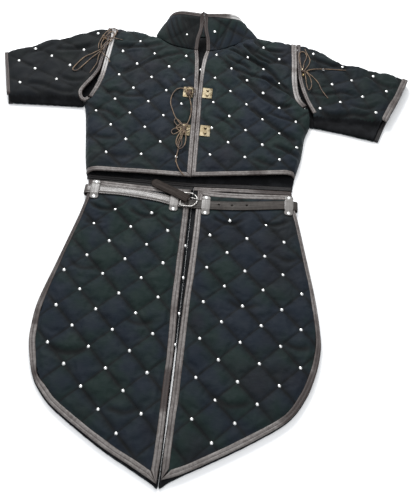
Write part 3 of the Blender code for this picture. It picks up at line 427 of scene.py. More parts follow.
def getCo(mesh):
    co = np.empty(len(mesh.vertices) * 3)
    mesh.vertices.foreach_get("co", co)
    return co.reshape(-1, 3)


def setCo(mesh, co):
    mesh.vertices.foreach_set("co", np.ascontiguousarray(co, float).ravel())
    mesh.update()


def editAll(obj, operator, **values):
    # one operator on the whole mesh
    makeActive(obj)
    bpy.ops.object.mode_set(mode="EDIT")
    bpy.ops.mesh.select_all(action="SELECT")
    operator(**values)
    bpy.ops.object.mode_set(mode="OBJECT")


def wrapGrid(name, places, uv=None, closed=True, tone=None, toneName="tone"):
    # a grid primitive wrapped onto rows of places (rows, columns, 3), in plan millimetres
    m, n = places.shape[:2]
    deselectAll()
    bpy.ops.mesh.primitive_grid_add(x_subdivisions=n - 1, y_subdivisions=m - 1, size=1)
    obj = bpy.context.object
    obj.name = name
    obj.data.name = name
    setCo(obj.data, places.reshape(-1, 3))
    if uv is not None:
        corners = np.empty(len(obj.data.loops), int)
        obj.data.loops.foreach_get("vertex_index", corners)
        obj.data.uv_layers[0].data.foreach_set("uv", uv.reshape(-1, 2)[corners].ravel())
    if tone is not None:
        obj.data.attributes.new(toneName, "FLOAT", "POINT").data.foreach_set("value", tone.ravel())
    if closed:
        bpy.ops.object.mode_set(mode="EDIT")
        bpy.ops.mesh.select_all(action="SELECT")
        bpy.ops.mesh.remove_doubles(threshold=0.001)
        bpy.ops.mesh.fill_holes(sides=0)
        bpy.ops.mesh.select_all(action="SELECT")
        bpy.ops.mesh.normals_make_consistent(inside=False)
        bpy.ops.object.mode_set(mode="OBJECT")
    return obj



def applyModifier(obj, kind, **values):
    makeActive(obj)
    mod = obj.modifiers.new(kind.lower(), kind)
    for key, value in values.items():
        setattr(mod, key, value)
    bpy.ops.object.modifier_apply(modifier=mod.name)


def finishPiece(obj, material, *nodes, smooth=True):
    # plan millimetres to world metres, its material, its body and what it stands for
    setCo(obj.data, toWorld(getCo(obj.data)))
    if material:
        obj.data.materials.clear()
        obj.data.materials.append(material)
    makeActive(obj)
    if smooth:
        bpy.ops.object.shade_smooth()
    else:
        bpy.ops.object.shade_smooth_by_angle(angle=math.radians(32))
    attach(obj, "root")
    if nodes:
        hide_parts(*nodes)
    return obj


# Materials

def colour(r, g, b):
    return (r, g, b, 1.0)


def addNode(tree, kind, **values):
    node = tree.nodes.new(kind)
    for key, value in values.items():
        setattr(node, key, value)
    return node


def maths(tree, operation, a, b=None, c=None):
    node = addNode(tree, "ShaderNodeMath", operation=operation)
    for k, value in enumerate((a, b, c)):
        if value is None:
            continue
        if isinstance(value, (int, float)):
            node.inputs[k].default_value = value
        else:
            tree.links.new(value, node.inputs[k])
    return node.outputs[0]


def mixColour(tree, factor, a, b, blend="MIX"):
    node = addNode(tree, "ShaderNodeMix", data_type="RGBA", blend_type=blend)
    for socket, value in ((node.inputs["Factor"], factor), (node.inputs[6], a), (node.inputs[7], b)):
        if isinstance(value, (int, float, tuple)):
            socket.default_value = value
        else:
            tree.links.new(value, socket)
    return node.outputs[2]


def mixFloat(tree, factor, a, b):
    node = addNode(tree, "ShaderNodeMix", data_type="FLOAT")
    node.inputs["Factor"].default_value = factor
    tree.links.new(a, node.inputs[2])
    tree.links.new(b, node.inputs[3])
    return node.outputs[0]


def noiseOf(tree, vector, scale, detail=4.0, rough=0.55):
    node = addNode(tree, "ShaderNodeTexNoise")
    node.inputs["Scale"].default_value = scale
    node.inputs["Detail"].default_value = detail
    node.inputs["Roughness"].default_value = rough
    tree.links.new(vector, node.inputs["Vector"])
    return node.outputs["Fac"]


def rampOf(tree, value, low, high, outLow=0.0, outHigh=1.0):
    node = addNode(tree, "ShaderNodeMapRange", interpolation_type="SMOOTHSTEP")
    node.inputs["From Min"].default_value = low
    node.inputs["From Max"].default_value = high
    node.inputs["To Min"].default_value = outLow
    node.inputs["To Max"].default_value = outHigh
    tree.links.new(value, node.inputs["Value"])
    return node.outputs["Result"]


def scaledVector(tree, vector, scale):
    node = addNode(tree, "ShaderNodeMapping")
    node.inputs["Scale"].default_value = scale
    tree.links.new(vector, node.inputs["Vector"])
    return node.outputs["Vector"]


def newMaterial(name):
    material = bpy.data.materials.new(name)
    material.use_nodes = True
    tree = material.node_tree
    shader = tree.nodes["Principled BSDF"]
    return material, tree, shader


def groupWith(name, inputs, outputs):
    tree = bpy.data.node_groups.new(name, "ShaderNodeTree")
    for label, kind, value in inputs:
        socket = tree.interface.new_socket(label, in_out="INPUT", socket_type=kind)
        if value is not None:
            socket.default_value = value
    for label, kind in outputs:
        tree.interface.new_socket(label, in_out="OUTPUT", socket_type=kind)
    return tree, addNode(tree, "NodeGroupInput"), addNode(tree, "NodeGroupOutput")


def twillGroup():
    # fine diagonal twill with slubs: height and a thread mask
    tree, start, end = groupWith("twillWeave", [("Vector", "NodeSocketVector", None),
                                                ("Threads", "NodeSocketFloat", 900.0)],
                                 [("Height", "NodeSocketFloat"), ("Slub", "NodeSocketFloat")])
    split = addNode(tree, "ShaderNodeSeparateXYZ")
    tree.links.new(start.outputs["Vector"], split.inputs[0])
    x, y = split.outputs["X"], split.outputs["Y"]
    diagonal = maths(tree, "MULTIPLY", maths(tree, "ADD", x, y), start.outputs["Threads"])
    weft = maths(tree, "MULTIPLY", maths(tree, "SUBTRACT", x, y), start.outputs["Threads"])
    rib = maths(tree, "PINGPONG", diagonal, 1.0)
    cross = maths(tree, "PINGPONG", weft, 1.0)
    slub = noiseOf(tree, scaledVector(tree, start.outputs["Vector"], (60, 900, 60)), 1.0, 2.0)
    height = maths(tree, "ADD", maths(tree, "MULTIPLY", rib, 0.7), maths(tree, "MULTIPLY", cross, 0.3))
    tree.links.new(height, end.inputs["Height"])
    tree.links.new(slub, end.inputs["Slub"])
    return tree


def grainGroup():
    # leather grain: height from cells and fine noise, and a worn mask
    tree, start, end = groupWith("leatherGrain", [("Vector", "NodeSocketVector", None),
                                                  ("Scale", "NodeSocketFloat", 420.0)],
                                 [("Height", "NodeSocketFloat"), ("Worn", "NodeSocketFloat")])
    cells = addNode(tree, "ShaderNodeTexVoronoi", feature="F1")
    tree.links.new(start.outputs["Vector"], cells.inputs["Vector"])
    tree.links.new(start.outputs["Scale"], cells.inputs["Scale"])
    fine = noiseOf(tree, start.outputs["Vector"], 900.0, 3.0)
    height = maths(tree, "ADD", maths(tree, "MULTIPLY", cells.outputs["Distance"], 0.7),
                   maths(tree, "MULTIPLY", fine, 0.5))
    worn = noiseOf(tree, start.outputs["Vector"], 55.0, 6.0, 0.65)
    tree.links.new(height, end.inputs["Height"])
    tree.links.new(worn, end.inputs["Worn"])
    return tree


def placeGroup(tree, group, vector):
    node = addNode(tree, "ShaderNodeGroup", node_tree=group)
    tree.links.new(vector, node.inputs["Vector"])
    return node


def bumpOf(tree, height, strength, distance, under=None):
    node = addNode(tree, "ShaderNodeBump")
    node.inputs["Strength"].default_value = strength
    node.inputs["Distance"].default_value = distance
    tree.links.new(height, node.inputs["Height"])
    if under is not None:
        tree.links.new(under, node.inputs["Normal"])
    return node.outputs["Normal"]


# the darkest cloth colour is painted shade, for the stitched lines and the creases
clothLook = {
    "green": colour(0.0040, 0.0118, 0.0100), "blue": colour(0.0048, 0.0086, 0.0150),
    "plum": colour(0.0072, 0.0070, 0.0104), "grooveShade": colour(0.0008, 0.0012, 0.0015),
    "nap": colour(0.015, 0.021, 0.025), "thread": colour(0.003, 0.004, 0.005),
    "grooveWidth": 0.080, "stitches": 15.0, "roughness": 0.82, "sheen": 0.05,
}


def clothMaterial():
    look = clothLook
    material, tree, shader = newMaterial("quiltedTwill")
    place = addNode(tree, "ShaderNodeTexCoord").outputs["Object"]
    uv = addNode(tree, "ShaderNodeUVMap")
    split = addNode(tree, "ShaderNodeSeparateXYZ")
    tree.links.new(uv.outputs["UV"], split.inputs[0])
    u, v = split.outputs["X"], split.outputs["Y"]
    toU = maths(tree, "PINGPONG", u, 0.5)
    toV = maths(tree, "PINGPONG", v, 0.5)
    nearest = maths(tree, "MINIMUM", maths(tree, "MULTIPLY_ADD", toU, 2.0, 0.010), toV)
    # painted shade along the stitched lines: a dark core and a wider soft shadow, fainter in places
    grooveShade = rampOf(tree, nearest, 0.0, look["grooveWidth"], 1.0, 0.0)
    shadow = rampOf(tree, nearest, 0.0, look["grooveWidth"] * 3.2, 1.0, 0.0)
    cell = addNode(tree, "ShaderNodeCombineXYZ")
    tree.links.new(maths(tree, "FLOOR", u), cell.inputs[0])
    tree.links.new(maths(tree, "FLOOR", v), cell.inputs[1])
    chance = addNode(tree, "ShaderNodeTexWhiteNoise", noise_dimensions="2D")
    tree.links.new(cell.outputs[0], chance.inputs["Vector"])
    patch = noiseOf(tree, place, 9.0, 3.0)
    tone = maths(tree, "ADD", maths(tree, "MULTIPLY", chance.outputs["Value"], 0.14), patch)
    base = mixColour(tree, rampOf(tree, tone, 0.44, 0.70), look["green"], look["blue"])
    base = mixColour(tree, rampOf(tree, noiseOf(tree, place, 6.0, 2.0), 0.52, 0.72, 0.0, 0.7), base,
                     look["plum"])
    weave = placeGroup(tree, twill, place)
    weave.inputs["Threads"].default_value = 700.0
    nap = maths(tree, "MULTIPLY", rampOf(tree, weave.outputs["Slub"], 0.45, 0.8), 0.45)
    base = mixColour(tree, nap, base, look["nap"])
    dusty = rampOf(tree, noiseOf(tree, place, 38.0, 6.0, 0.7), 0.55, 0.8, 0.0, 0.3)
    base = mixColour(tree, dusty, base, look["nap"])
    faint = rampOf(tree, noiseOf(tree, place, 14.0, 2.0), 0.35, 0.65, 0.62, 1.0)
    base = mixColour(tree, maths(tree, "MULTIPLY", maths(tree, "MULTIPLY", shadow, faint), 0.60), base,
                     look["grooveShade"])
    base = mixColour(tree, maths(tree, "MULTIPLY", maths(tree, "MULTIPLY", grooveShade, faint), 0.92), base,
                     look["grooveShade"])
    # painted shade: the cloth darkens in the drape creases and over panels that lie in shade
    paintedShade = addNode(tree, "ShaderNodeAttribute", attribute_type="GEOMETRY",
                     attribute_name="paintedShade").outputs["Fac"]
    base = mixColour(tree, maths(tree, "MULTIPLY", paintedShade, 0.92), base, look["grooveShade"])
    # thread along the stitched lines
    dashU = maths(tree, "GREATER_THAN", maths(tree, "FRACT", maths(tree, "MULTIPLY", v, look["stitches"])),
                  0.3)
    dashV = maths(tree, "GREATER_THAN", maths(tree, "FRACT", maths(tree, "MULTIPLY", u, look["stitches"])),
                  0.3)
    lineU = maths(tree, "MULTIPLY", rampOf(tree, toU, 0.004, 0.010, 1.0, 0.0), dashU)
    lineV = maths(tree, "MULTIPLY", rampOf(tree, toV, 0.004, 0.010, 1.0, 0.0), dashV)
    thread = maths(tree, "MAXIMUM", lineU, lineV)
    base = mixColour(tree, maths(tree, "MULTIPLY", thread, 0.8), base, look["thread"])
    tree.links.new(base, shader.inputs["Base Color"])
    rough = rampOf(tree, noiseOf(tree, place, 25.0, 4.0), 0.2, 0.8, look["roughness"] - 0.1,
                   look["roughness"] + 0.08)
    tree.links.new(rough, shader.inputs["Roughness"])
    normal = bumpOf(tree, weave.outputs["Height"], 0.35, 0.0004)
    normal = bumpOf(tree, noiseOf(tree, place, 70.0, 5.0, 0.6), 0.25, 0.0015, normal)
    normal = bumpOf(tree, thread, 0.6, 0.0005, normal)
    tree.links.new(normal, shader.inputs["Normal"])
    shader.inputs["Sheen Weight"].default_value = look["sheen"]
    shader.inputs["Sheen Roughness"].default_value = 0.4
    shader.inputs["Sheen Tint"].default_value = colour(0.55, 0.68, 0.75)
    shader.inputs["Specular IOR Level"].default_value = 0.22
    return material


liningAndShadeLook = {"dark": colour(0.0022, 0.0024, 0.003), "worn": colour(0.006, 0.0065, 0.008)}


def liningAndShadeMaterial():
    # the black lining inside the walls; its near-black colour is painted shade, for insides seen in the gaps
    # and the sleeves' shaded undersides
    look = liningAndShadeLook
    material, tree, shader = newMaterial("liningPaintedShade")
    place = addNode(tree, "ShaderNodeTexCoord").outputs["Object"]
    weave = placeGroup(tree, twill, place)
    weave.inputs["Threads"].default_value = 900.0
    cloud = noiseOf(tree, place, 30.0, 5.0, 0.6)
    tree.links.new(mixColour(tree, rampOf(tree, cloud, 0.4, 0.7), look["dark"], look["worn"]),
                   shader.inputs["Base Color"])
    tree.links.new(rampOf(tree, cloud, 0.3, 0.7, 0.9, 0.75), shader.inputs["Roughness"])
    normal = bumpOf(tree, weave.outputs["Height"], 0.3, 0.0004)
    tree.links.new(bumpOf(tree, cloud, 0.3, 0.002, normal), shader.inputs["Normal"])
    shader.inputs["Specular IOR Level"].default_value = 0.15
    return material


bindingLook = {
    "pale": colour(0.190, 0.174, 0.165), "mid": colour(0.074, 0.061, 0.056),
    "brown": colour(0.030, 0.0205, 0.018),
    "chalk": colour(0.44, 0.43, 0.42), "thread": colour(0.020, 0.016, 0.015), "stitchEvery": 0.0046,
    "roughness": 0.40,
    "grain": 0.22, "creases": 0.30, "lines": (0.47,), "streaks": 0.55, "specular": 0.34,
}


def stripLeather(name, look):
    # leather strips: U runs along in metres, V from the outer edge round the section
    material, tree, shader = newMaterial(name)
    place = addNode(tree, "ShaderNodeTexCoord").outputs["Object"]
    uv = addNode(tree, "ShaderNodeUVMap")
    split = addNode(tree, "ShaderNodeSeparateXYZ")
    tree.links.new(uv.outputs["UV"], split.inputs[0])
    u, v = split.outputs["X"], split.outputs["Y"]
    grainNode = placeGroup(tree, grain, place)
    lengthStreak = noiseOf(tree, scaledVector(tree, uv.outputs["UV"], (16, 9, 1)), 1.0, 5.0, 0.6)
    crossStreak = noiseOf(tree, scaledVector(tree, uv.outputs["UV"], (120, 1.5, 1)), 1.0, 4.0, 0.6)
    patch = noiseOf(tree, place, 24.0, 4.0)
    mixing = mixFloat(tree, look["streaks"], crossStreak, lengthStreak)
    base = mixColour(tree, rampOf(tree, mixing, 0.36, 0.62), look["mid"], look["pale"])
    tone = addNode(tree, "ShaderNodeAttribute", attribute_type="GEOMETRY",
                   attribute_name="tone").outputs["Fac"]
    stained = maths(tree, "MULTIPLY_ADD", maths(tree, "SUBTRACT", patch, 0.5), 1.6, tone)
    base = mixColour(tree, rampOf(tree, stained, 0.05, 0.95), base, look["brown"])
    # below 0 the tone turns the strip a pale chalky grey
    chalky = rampOf(tree, maths(tree, "MULTIPLY", tone, -1.0), 0.0, 1.0)
    base = mixColour(tree, chalky, base, look["chalk"])
    worn = rampOf(tree, grainNode.outputs["Worn"], 0.60, 0.74, 0.0, 0.45)
    base = mixColour(tree, worn, base, look["mid"])
    thread = None
    for line in look["lines"]:
        dash = maths(tree, "GREATER_THAN", maths(tree, "FRACT",
                                                 maths(tree, "DIVIDE", u, look["stitchEvery"])), 0.28)
        # painted shade in the groove along the stitched line, under the thread
        stitchLineShade = rampOf(tree, maths(tree, "ABSOLUTE", maths(tree, "SUBTRACT", v, line)), 0.025, 0.085, 1.0,
                          0.0)
        thread = maths(tree, "MULTIPLY", dash, stitchLineShade)
        base = mixColour(tree, maths(tree, "MULTIPLY", stitchLineShade, 0.58), base, look["brown"])
        base = mixColour(tree, maths(tree, "MULTIPLY", thread, 0.7), base, look["thread"])
    # the folded rim and the strip's inner edge are drawn darker
    rim = rampOf(tree, maths(tree, "ABSOLUTE", maths(tree, "SUBTRACT", v, 0.5)), 0.40, 0.50, 0.0, 0.42)
    base = mixColour(tree, rim, base, look["brown"])
    tree.links.new(base, shader.inputs["Base Color"])
    rough = rampOf(tree, mixing, 0.3, 0.7, look["roughness"] + 0.14, look["roughness"] - 0.06)
    tree.links.new(rough, shader.inputs["Roughness"])
    normal = bumpOf(tree, grainNode.outputs["Height"], look["grain"], 0.0004)
    normal = bumpOf(tree, crossStreak, look["creases"], 0.0012, normal)
    if thread is not None:
        normal = bumpOf(tree, thread, 0.7, 0.0005, normal)
    tree.links.new(normal, shader.inputs["Normal"])
    shader.inputs["Specular IOR Level"].default_value = look.get("specular", 0.5)
    return material


# painted shade: binding leather drawn near black, for strips that lie in shade under the sleeves, at the back
# hem and at the right back waist
shadedBindingLook = dict(bindingLook, chalk=colour(0.014, 0.012, 0.012), pale=colour(0.014, 0.012, 0.012),
                 mid=colour(0.006, 0.005, 0.005),
                 brown=colour(0.003, 0.0025, 0.0025), thread=colour(0.004, 0.004, 0.004), roughness=0.6)
beltLook = {
    "chalk": colour(0.2, 0.2, 0.2), "pale": colour(0.060, 0.050, 0.044), "mid": colour(0.034, 0.027, 0.023),
    "brown": colour(0.016, 0.011, 0.009),
    "thread": colour(0.05, 0.04, 0.03), "stitchEvery": 0.004, "roughness": 0.25,
    "grain": 0.05, "creases": 0.03, "lines": (), "streaks": 0.7,
}
# painted shade: a darker, rougher copy of the belt leather for the wearer's-left run, away from the window's
# glare
shadedBeltLook = dict(beltLook, roughness=0.50, specular=0.22, grain=0.12, creases=0.08,
                   pale=colour(0.044, 0.038, 0.033), mid=colour(0.020, 0.0165, 0.0145))
# painted shade: a darker, rougher copy of the belt leather for the belt's end
shadedTailLook = dict(beltLook, roughness=0.60, specular=0.12, pale=colour(0.026, 0.019, 0.0155),
                mid=colour(0.013, 0.0095, 0.008),
                grain=0.12, creases=0.10)
keeperLook = dict(beltLook, pale=colour(0.165, 0.155, 0.145), mid=colour(0.085, 0.078, 0.072),
                  brown=colour(0.035, 0.028, 0.025), roughness=0.32, grain=0.10, creases=0.08)
laceLook = {"pale": colour(0.155, 0.098, 0.052), "dark": colour(0.028, 0.014, 0.008)}


def laceMaterial():
    look = laceLook
    material, tree, shader = newMaterial("lacingThong")
    place = addNode(tree, "ShaderNodeTexCoord").outputs["Object"]
    patch = noiseOf(tree, place, 60.0, 4.0)
    fibre = noiseOf(tree, place, 900.0, 3.0)
    mixing = maths(tree, "ADD", maths(tree, "MULTIPLY", patch, 0.7), maths(tree, "MULTIPLY", fibre, 0.3))
    base = mixColour(tree, rampOf(tree, mixing, 0.36, 0.64), look["dark"], look["pale"])
    tree.links.new(base, shader.inputs["Base Color"])
    shader.inputs["Roughness"].default_value = 0.55
    tree.links.new(bumpOf(tree, fibre, 0.5, 0.0004), shader.inputs["Normal"])
    return material


def metalMaterial(name, low, high, roughLow, roughHigh, scale):
    material, tree, shader = newMaterial(name)
    place = addNode(tree, "ShaderNodeTexCoord").outputs["Object"]
    cloud = noiseOf(tree, place, scale, 5.0, 0.6)
    scratch = noiseOf(tree, scaledVector(tree, place, (900, 120, 300)), 1.0, 3.0)
    base = mixColour(tree, rampOf(tree, cloud, 0.38, 0.66), low, high)
    tree.links.new(base, shader.inputs["Base Color"])
    tree.links.new(rampOf(tree, cloud, 0.3, 0.7, roughLow, roughHigh), shader.inputs["Roughness"])
    tree.links.new(bumpOf(tree, scratch, 0.12, 0.0002), shader.inputs["Normal"])
    shader.inputs["Metallic"].default_value = 1.0
    return material


twill = twillGroup()
grain = grainGroup()
materials = {
    "cloth": clothMaterial(),
    "liningAndShade": liningAndShadeMaterial(),
    "binding": stripLeather("boundLeather", bindingLook),
    "bindingPaintedShade": stripLeather("boundLeatherPaintedShade", shadedBindingLook),
    "belt": stripLeather("beltLeather", beltLook),
    "beltShadedCopy": stripLeather("beltLeatherShadedCopy", shadedBeltLook),
    "tail": stripLeather("beltEndLeatherShadedCopy", shadedTailLook),
    "keeper": stripLeather("keeperLeather", keeperLook),
    "lace": laceMaterial(),
    "nickel": metalMaterial("nickel", colour(0.70, 0.70, 0.68), colour(0.95, 0.95, 0.93), 0.25, 0.42, 260.0),
    "steel": metalMaterial("buckleSteel", colour(0.16, 0.15, 0.14), colour(0.55, 0.54, 0.52), 0.22, 0.45,
                           210.0),
    "brass": metalMaterial("paleBrass", colour(0.095, 0.075, 0.045), colour(0.275, 0.235, 0.16), 0.40, 0.58,
                           70.0),
    "capBrass": metalMaterial("brightBrass", colour(0.30, 0.22, 0.10), colour(0.86, 0.74, 0.50), 0.40, 0.40,
                              70.0),
    "eyelet": metalMaterial("agedBrass", colour(0.055, 0.032, 0.016), colour(0.24, 0.165, 0.08), 0.35, 0.55,
                            240.0),
}
print("materials ready")


# Camera, light and floor

def setStage():
    camData = bpy.data.cameras.new("camera")
    camera = bpy.data.objects.new("camera", camData)
    bpy.context.scene.collection.objects.link(camera)
    camData.lens = 46.74
    camData.sensor_width = 36.0
    right = Vector((0.99547516, 0.08231901, 0.04746352))
    up = Vector((-0.09502213, 0.86239416, 0.49723949))
    back = Vector((0.0, -0.49949965, 0.86631409))
    turn = Matrix((right, up, back)).transposed().to_4x4()
    camera.matrix_world = Matrix.Translation((0.0470, -0.91205, 1.3855)) @ turn
    bpy.context.scene.camera = camera
    world = bpy.data.worlds.new("studio")
    bpy.context.scene.world = world
    world.use_nodes = True
    world.node_tree.nodes["Background"].inputs["Color"].default_value = (0.93, 0.96, 1.0, 1.0)
    world.node_tree.nodes["Background"].inputs["Strength"].default_value = 0.70
    lamps = [
        # name, place, aim, size, size y, power
        ("softbox", (-0.6, 2.2, 1.9), (0, -0.1, 0), 1.8, 1.0, 58.0),
        ("overhead", (0.1, -0.35, 2.7), (0, -0.2, 0), 1.8, 1.8, 28.0),
        ("window", (-0.37, 1.03, 1.5), (-0.15, 0.02, 0), 0.52, 0.26, 9.5),
    ]
    for name, place, aim, size, sizeY, power in lamps:
        data = bpy.data.lights.new(name, "AREA")
        data.shape = "RECTANGLE"
        data.size = size
        data.size_y = sizeY
        data.energy = power
        lamp = bpy.data.objects.new(name, data)
        lamp.location = place
        lamp.rotation_euler = (Vector(aim) - Vector(place)).to_track_quat("-Z", "Y").to_euler()
        bpy.context.scene.collection.objects.link(lamp)
    deselectAll()
    bpy.ops.mesh.primitive_plane_add(size=14, location=(0, 0, -0.0006))
    floor = bpy.context.object
    floor.name = "floor"
    material, tree, shader = newMaterial("paleFloor")
    place = addNode(tree, "ShaderNodeTexCoord").outputs["Object"]
    base = mixColour(tree, noiseOf(tree, place, 1.5, 2.0), colour(0.90, 0.90, 0.90), colour(0.93, 0.93, 0.93))
    tree.links.new(base, shader.inputs["Base Color"])
    shader.inputs["Roughness"].default_value = 0.9
    floor.data.materials.append(material)
    bpy.context.scene.view_settings.view_transform = "Standard"


setStage()


# Laces

def laceHeight(z):
    return z + jacketTop + layout["lace"] / 2


def makeTube(name, path, thick, material, nodes=(), cyclic=False, resolution=4):
    # a round cord or wire along a path
    world = toWorld(path)
    data = bpy.data.curves.new(name, "CURVE")
    data.dimensions = "3D"
    data.bevel_depth = thick / 2 * 0.001
    data.bevel_resolution = resolution
    data.use_fill_caps = not cyclic
    line = data.splines.new("POLY")
    line.points.add(len(world) - 1)
    line.points.foreach_set("co", np.hstack([world, np.ones((len(world), 1))]).ravel())
    line.use_cyclic_u = cyclic
    data.materials.append(material)
    tube = bpy.data.objects.new(name, data)
    bpy.context.scene.collection.objects.link(tube)
    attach(tube, "root")
    if nodes:
        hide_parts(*nodes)
    return tube, world


def makeLace(name, rows, thick, nodes=()):
    points = smoothRow(rows, 2.5)
    points[:, 2] = laceHeight(points[:, 2])
    cord, world = makeTube(name + "_cord", points, thick, materials["lace"], nodes)


for laceName, laceRows in laceRoutes.items():
    makeLace(laceName, laceRows, layout["lace"], [laceName])
for laceName, (laceRows, laceThick) in extraStrands.items():
    makeLace(laceName, laceRows, laceThick)


def makeKnot(name, x, y, z, half, axis, turns):
    # windings of the lace round itself, over a small core
    centre = np.array([x, y, laceHeight(z)])
    ax = np.array([axis[0], axis[1], 0.0])
    ax /= np.linalg.norm(ax)
    side = np.array([-ax[1], ax[0], 0.0])
    reach = half[1] if abs(ax[1]) > 0.7 else half[0]
    width = half[0] if abs(ax[1]) > 0.7 else half[1]
    t = np.linspace(0, 1, turns * 14 + 1)
    angle = t * turns * 2 * math.pi
    swell = 0.62 + 0.38 * np.sin(math.pi * t)
    wire = 1.15
    path = (centre + np.outer((t * 2 - 1) * (reach - wire), ax)
            + np.outer(np.cos(angle) * (width - wire) * 0.8 * swell, side)
            + np.outer(np.sin(angle) * (half[2] - wire) * swell, (0, 0, 1)))
    makeTube(name + "_winding", path, wire * 2, materials["lace"], resolution=3)
    deselectAll()
    bpy.ops.mesh.primitive_uv_sphere_add(segments=16, ring_count=10, radius=1)
    core = bpy.context.object
    core.name = name + "_core"
    co = getCo(core.data)
    setCo(core.data, centre + co[:, :1] * side * width * 0.62 + co[:, 1:2] * ax * reach * 0.92
          + co[:, 2:] * np.array([0, 0, half[2] * 0.7]))
    finishPiece(core, materials["lace"], *([name] if name.startswith("lace_") else []))


for knotName, knotRow in knotPlaces.items():
    makeKnot(knotName, *knotRow)
print("laces laid")


# Padded panels

panelLook = {
    "puff": 6.0, "edgeRun": 15.0, "pucker": 0.6, "sag": 1.1, "lineFloor": 0.30, "fill": 0.45,
}


# painted shade: how much darker the cloth of a panel is drawn, for panels that lie in shade
paintedPanelShade = {"sleeveRight": 0.85, "sleeveLeft": 0.36, "frontRight": 0.10}


class Pad:
    def __init__(self, quilt, loop, bound, closed, hollow, pressed, fold=None):
        self.quilt = quilt
        closedLoop = closeLoop(loop)
        middles = (closedLoop[1:] + closedLoop[:-1]) / 2
        free = distanceTo(middles, smoothRow(neckLeft, 5.0)) < 2.0
        self.eased = [pair for pair, skip in zip(zip(closedLoop[:-1], closedLoop[1:]), free) if not skip]
        self.bound = [(smoothRow(rows, 5.0), width) for rows, width in bound]
        self.paintedShade = None
        self.fold = None if fold is None else smoothRow(fold, 6.0)
        self.loop = loop
        self.closed = [(smoothRow(rows, 5.0), run) for rows, run in closed]
        self.hollow = hollow
        self.pressed = pressed

    def rise(self, p, lap):
        height = np.ones(len(p))
        for path, run in self.closed:
            height = np.minimum(height, quarterRound((distanceTo(p, path) - lap) / (run - lap)))
        return height

    def seam(self, p):
        base = layout["frontBase"]
        if not self.closed:
            return np.full(len(p), base + self.hollow + layout["seamWall"])
        step = layout["edgeStep"]
        height = base + step + (self.hollow + layout["seamWall"] - step) * self.rise(p, 0.0)
        if self.fold is None:
            return height
        # over the fold the cloth is full height, under it the turned-in part drops away
        above = self.overFold(p)
        turned = base + 5.5 + (self.hollow + layout["seamWall"] - 5.5) * quarterRound((above + 5.0) / 15.0)
        return np.minimum(height + 6.0 * ease(above / 10.0), turned)

    def overFold(self, p):
        return p[:, 1] - np.interp(p[:, 0], self.fold[:, 0], self.fold[:, 1])

    def inner(self, p):
        inner = layout["frontBase"] + self.hollow * self.rise(p, layout["sideLap"])
        return inner if self.fold is None else np.minimum(inner, self.seam(p) - 3.0)

    def free(self, p):
        free = np.ones(len(p))
        for path, half in self.pressed:
            free = np.minimum(free, ease((distanceTo(p, path) - half) / 12.0))
        return free

    def fromStrips(self, p):
        # how far a place lies inside the nearest leather strip's inner edge
        far = np.full(len(p), 1e3)
        for path, width in self.bound:
            far = np.minimum(far, distanceTo(p, path) - width)
        return far

    def outer(self, p):
        look = panelLook
        uv = quiltUv(p, self.quilt)
        cell = np.floor(uv)
        f = uv - cell
        seed = sum(map(ord, self.quilt)) * 0.01
        lift = 0.84 + 0.26 * hashOf(cell[:, 0], cell[:, 1], seed)
        acrossU = np.clip(4 * f[:, 0] * (1 - f[:, 0]), 0, 1)
        acrossV = np.clip(4 * f[:, 1] * (1 - f[:, 1]), 0, 1)
        floorLine = look["lineFloor"]
        body = (acrossV ** 0.55) * (floorLine + (1 - floorLine) * acrossU ** 0.55)
        # puckers that run away from the stitched lines
        wander = softNoise(p, 26.0, seed + 3)
        nearU = np.exp(-np.minimum(f[:, 0], 1 - f[:, 0]) * layout["square"] / 7.0)
        nearV = np.exp(-np.minimum(f[:, 1], 1 - f[:, 1]) * layout["square"] / 7.0)
        beat = 5.0 + 3.0 * hashOf(cell[:, 0], cell[:, 1], seed + 5)
        pucker = nearU * np.sin(f[:, 1] * 2 * math.pi * beat + wander * 9)
        pucker = pucker + nearV * np.sin(f[:, 0] * 2 * math.pi * beat + wander * 9)
        pucker = pucker * body ** 0.3 * look["pucker"]
        # soft creases drawn out of the corners
        toCorner = np.minimum(f[:, 0], 1 - f[:, 0]) ** 2 + np.minimum(f[:, 1], 1 - f[:, 1]) ** 2
        slant = np.arctan2(np.minimum(f[:, 1], 1 - f[:, 1]), np.minimum(f[:, 0], 1 - f[:, 0]) + 1e-6)
        rays = np.cos(slant * 10 + hashOf(cell[:, 0], cell[:, 1], seed + 7) * 6) * np.exp(-toCorner / 0.035)
        slump = (softNoise(p, 90.0, seed + 9) - 0.5) * look["sag"]
        wave = (softNoise(p, 17.0, seed + 11) - 0.5) * 0.8
        height = look["puff"] * lift * body + pucker + rays * 0.6 * body ** 0.5
        height = height + wave * body ** 0.7 + slump * body
        rim = np.full(len(p), 1e3)
        for pair in self.eased:
            rim = np.minimum(rim, distanceTo(p, np.array(pair)))
        edge = ease(rim / 9.0) * ease((self.fromStrips(p) + 0.5) / look["edgeRun"])
        height = height * edge * self.free(p)
        if self.fold is not None:
            height = height * ease((self.overFold(p) + 4.0) / 16.0)
        self.paintedShade = np.zeros(len(p))
        depthScale = 2.3 if self.quilt == "frontLeft" else 1.6
        for rows, depth, half in creaseRows.get(self.quilt, []):
            path = smoothRow(rows, 6.0)
            d = distanceTo(p, path)
            ends = np.minimum(np.linalg.norm(p - path[0], axis=1), np.linalg.norm(p - path[-1], axis=1))
            wavy = 0.75 + 0.5 * softNoise(p, 38.0, seed + 13)
            trough = np.exp(-(d / (half * 0.8)) ** 2) * ease(ends / 22.0) * wavy
            ridge = np.exp(-((d - half * 1.9) / half) ** 2) * ease(ends / 30.0) * wavy
            loose = (0.35 + 0.65 * self.free(p)) * edge
            height = height - trough * depth * depthScale * loose + ridge * depth * 0.75 * self.free(p) * edge
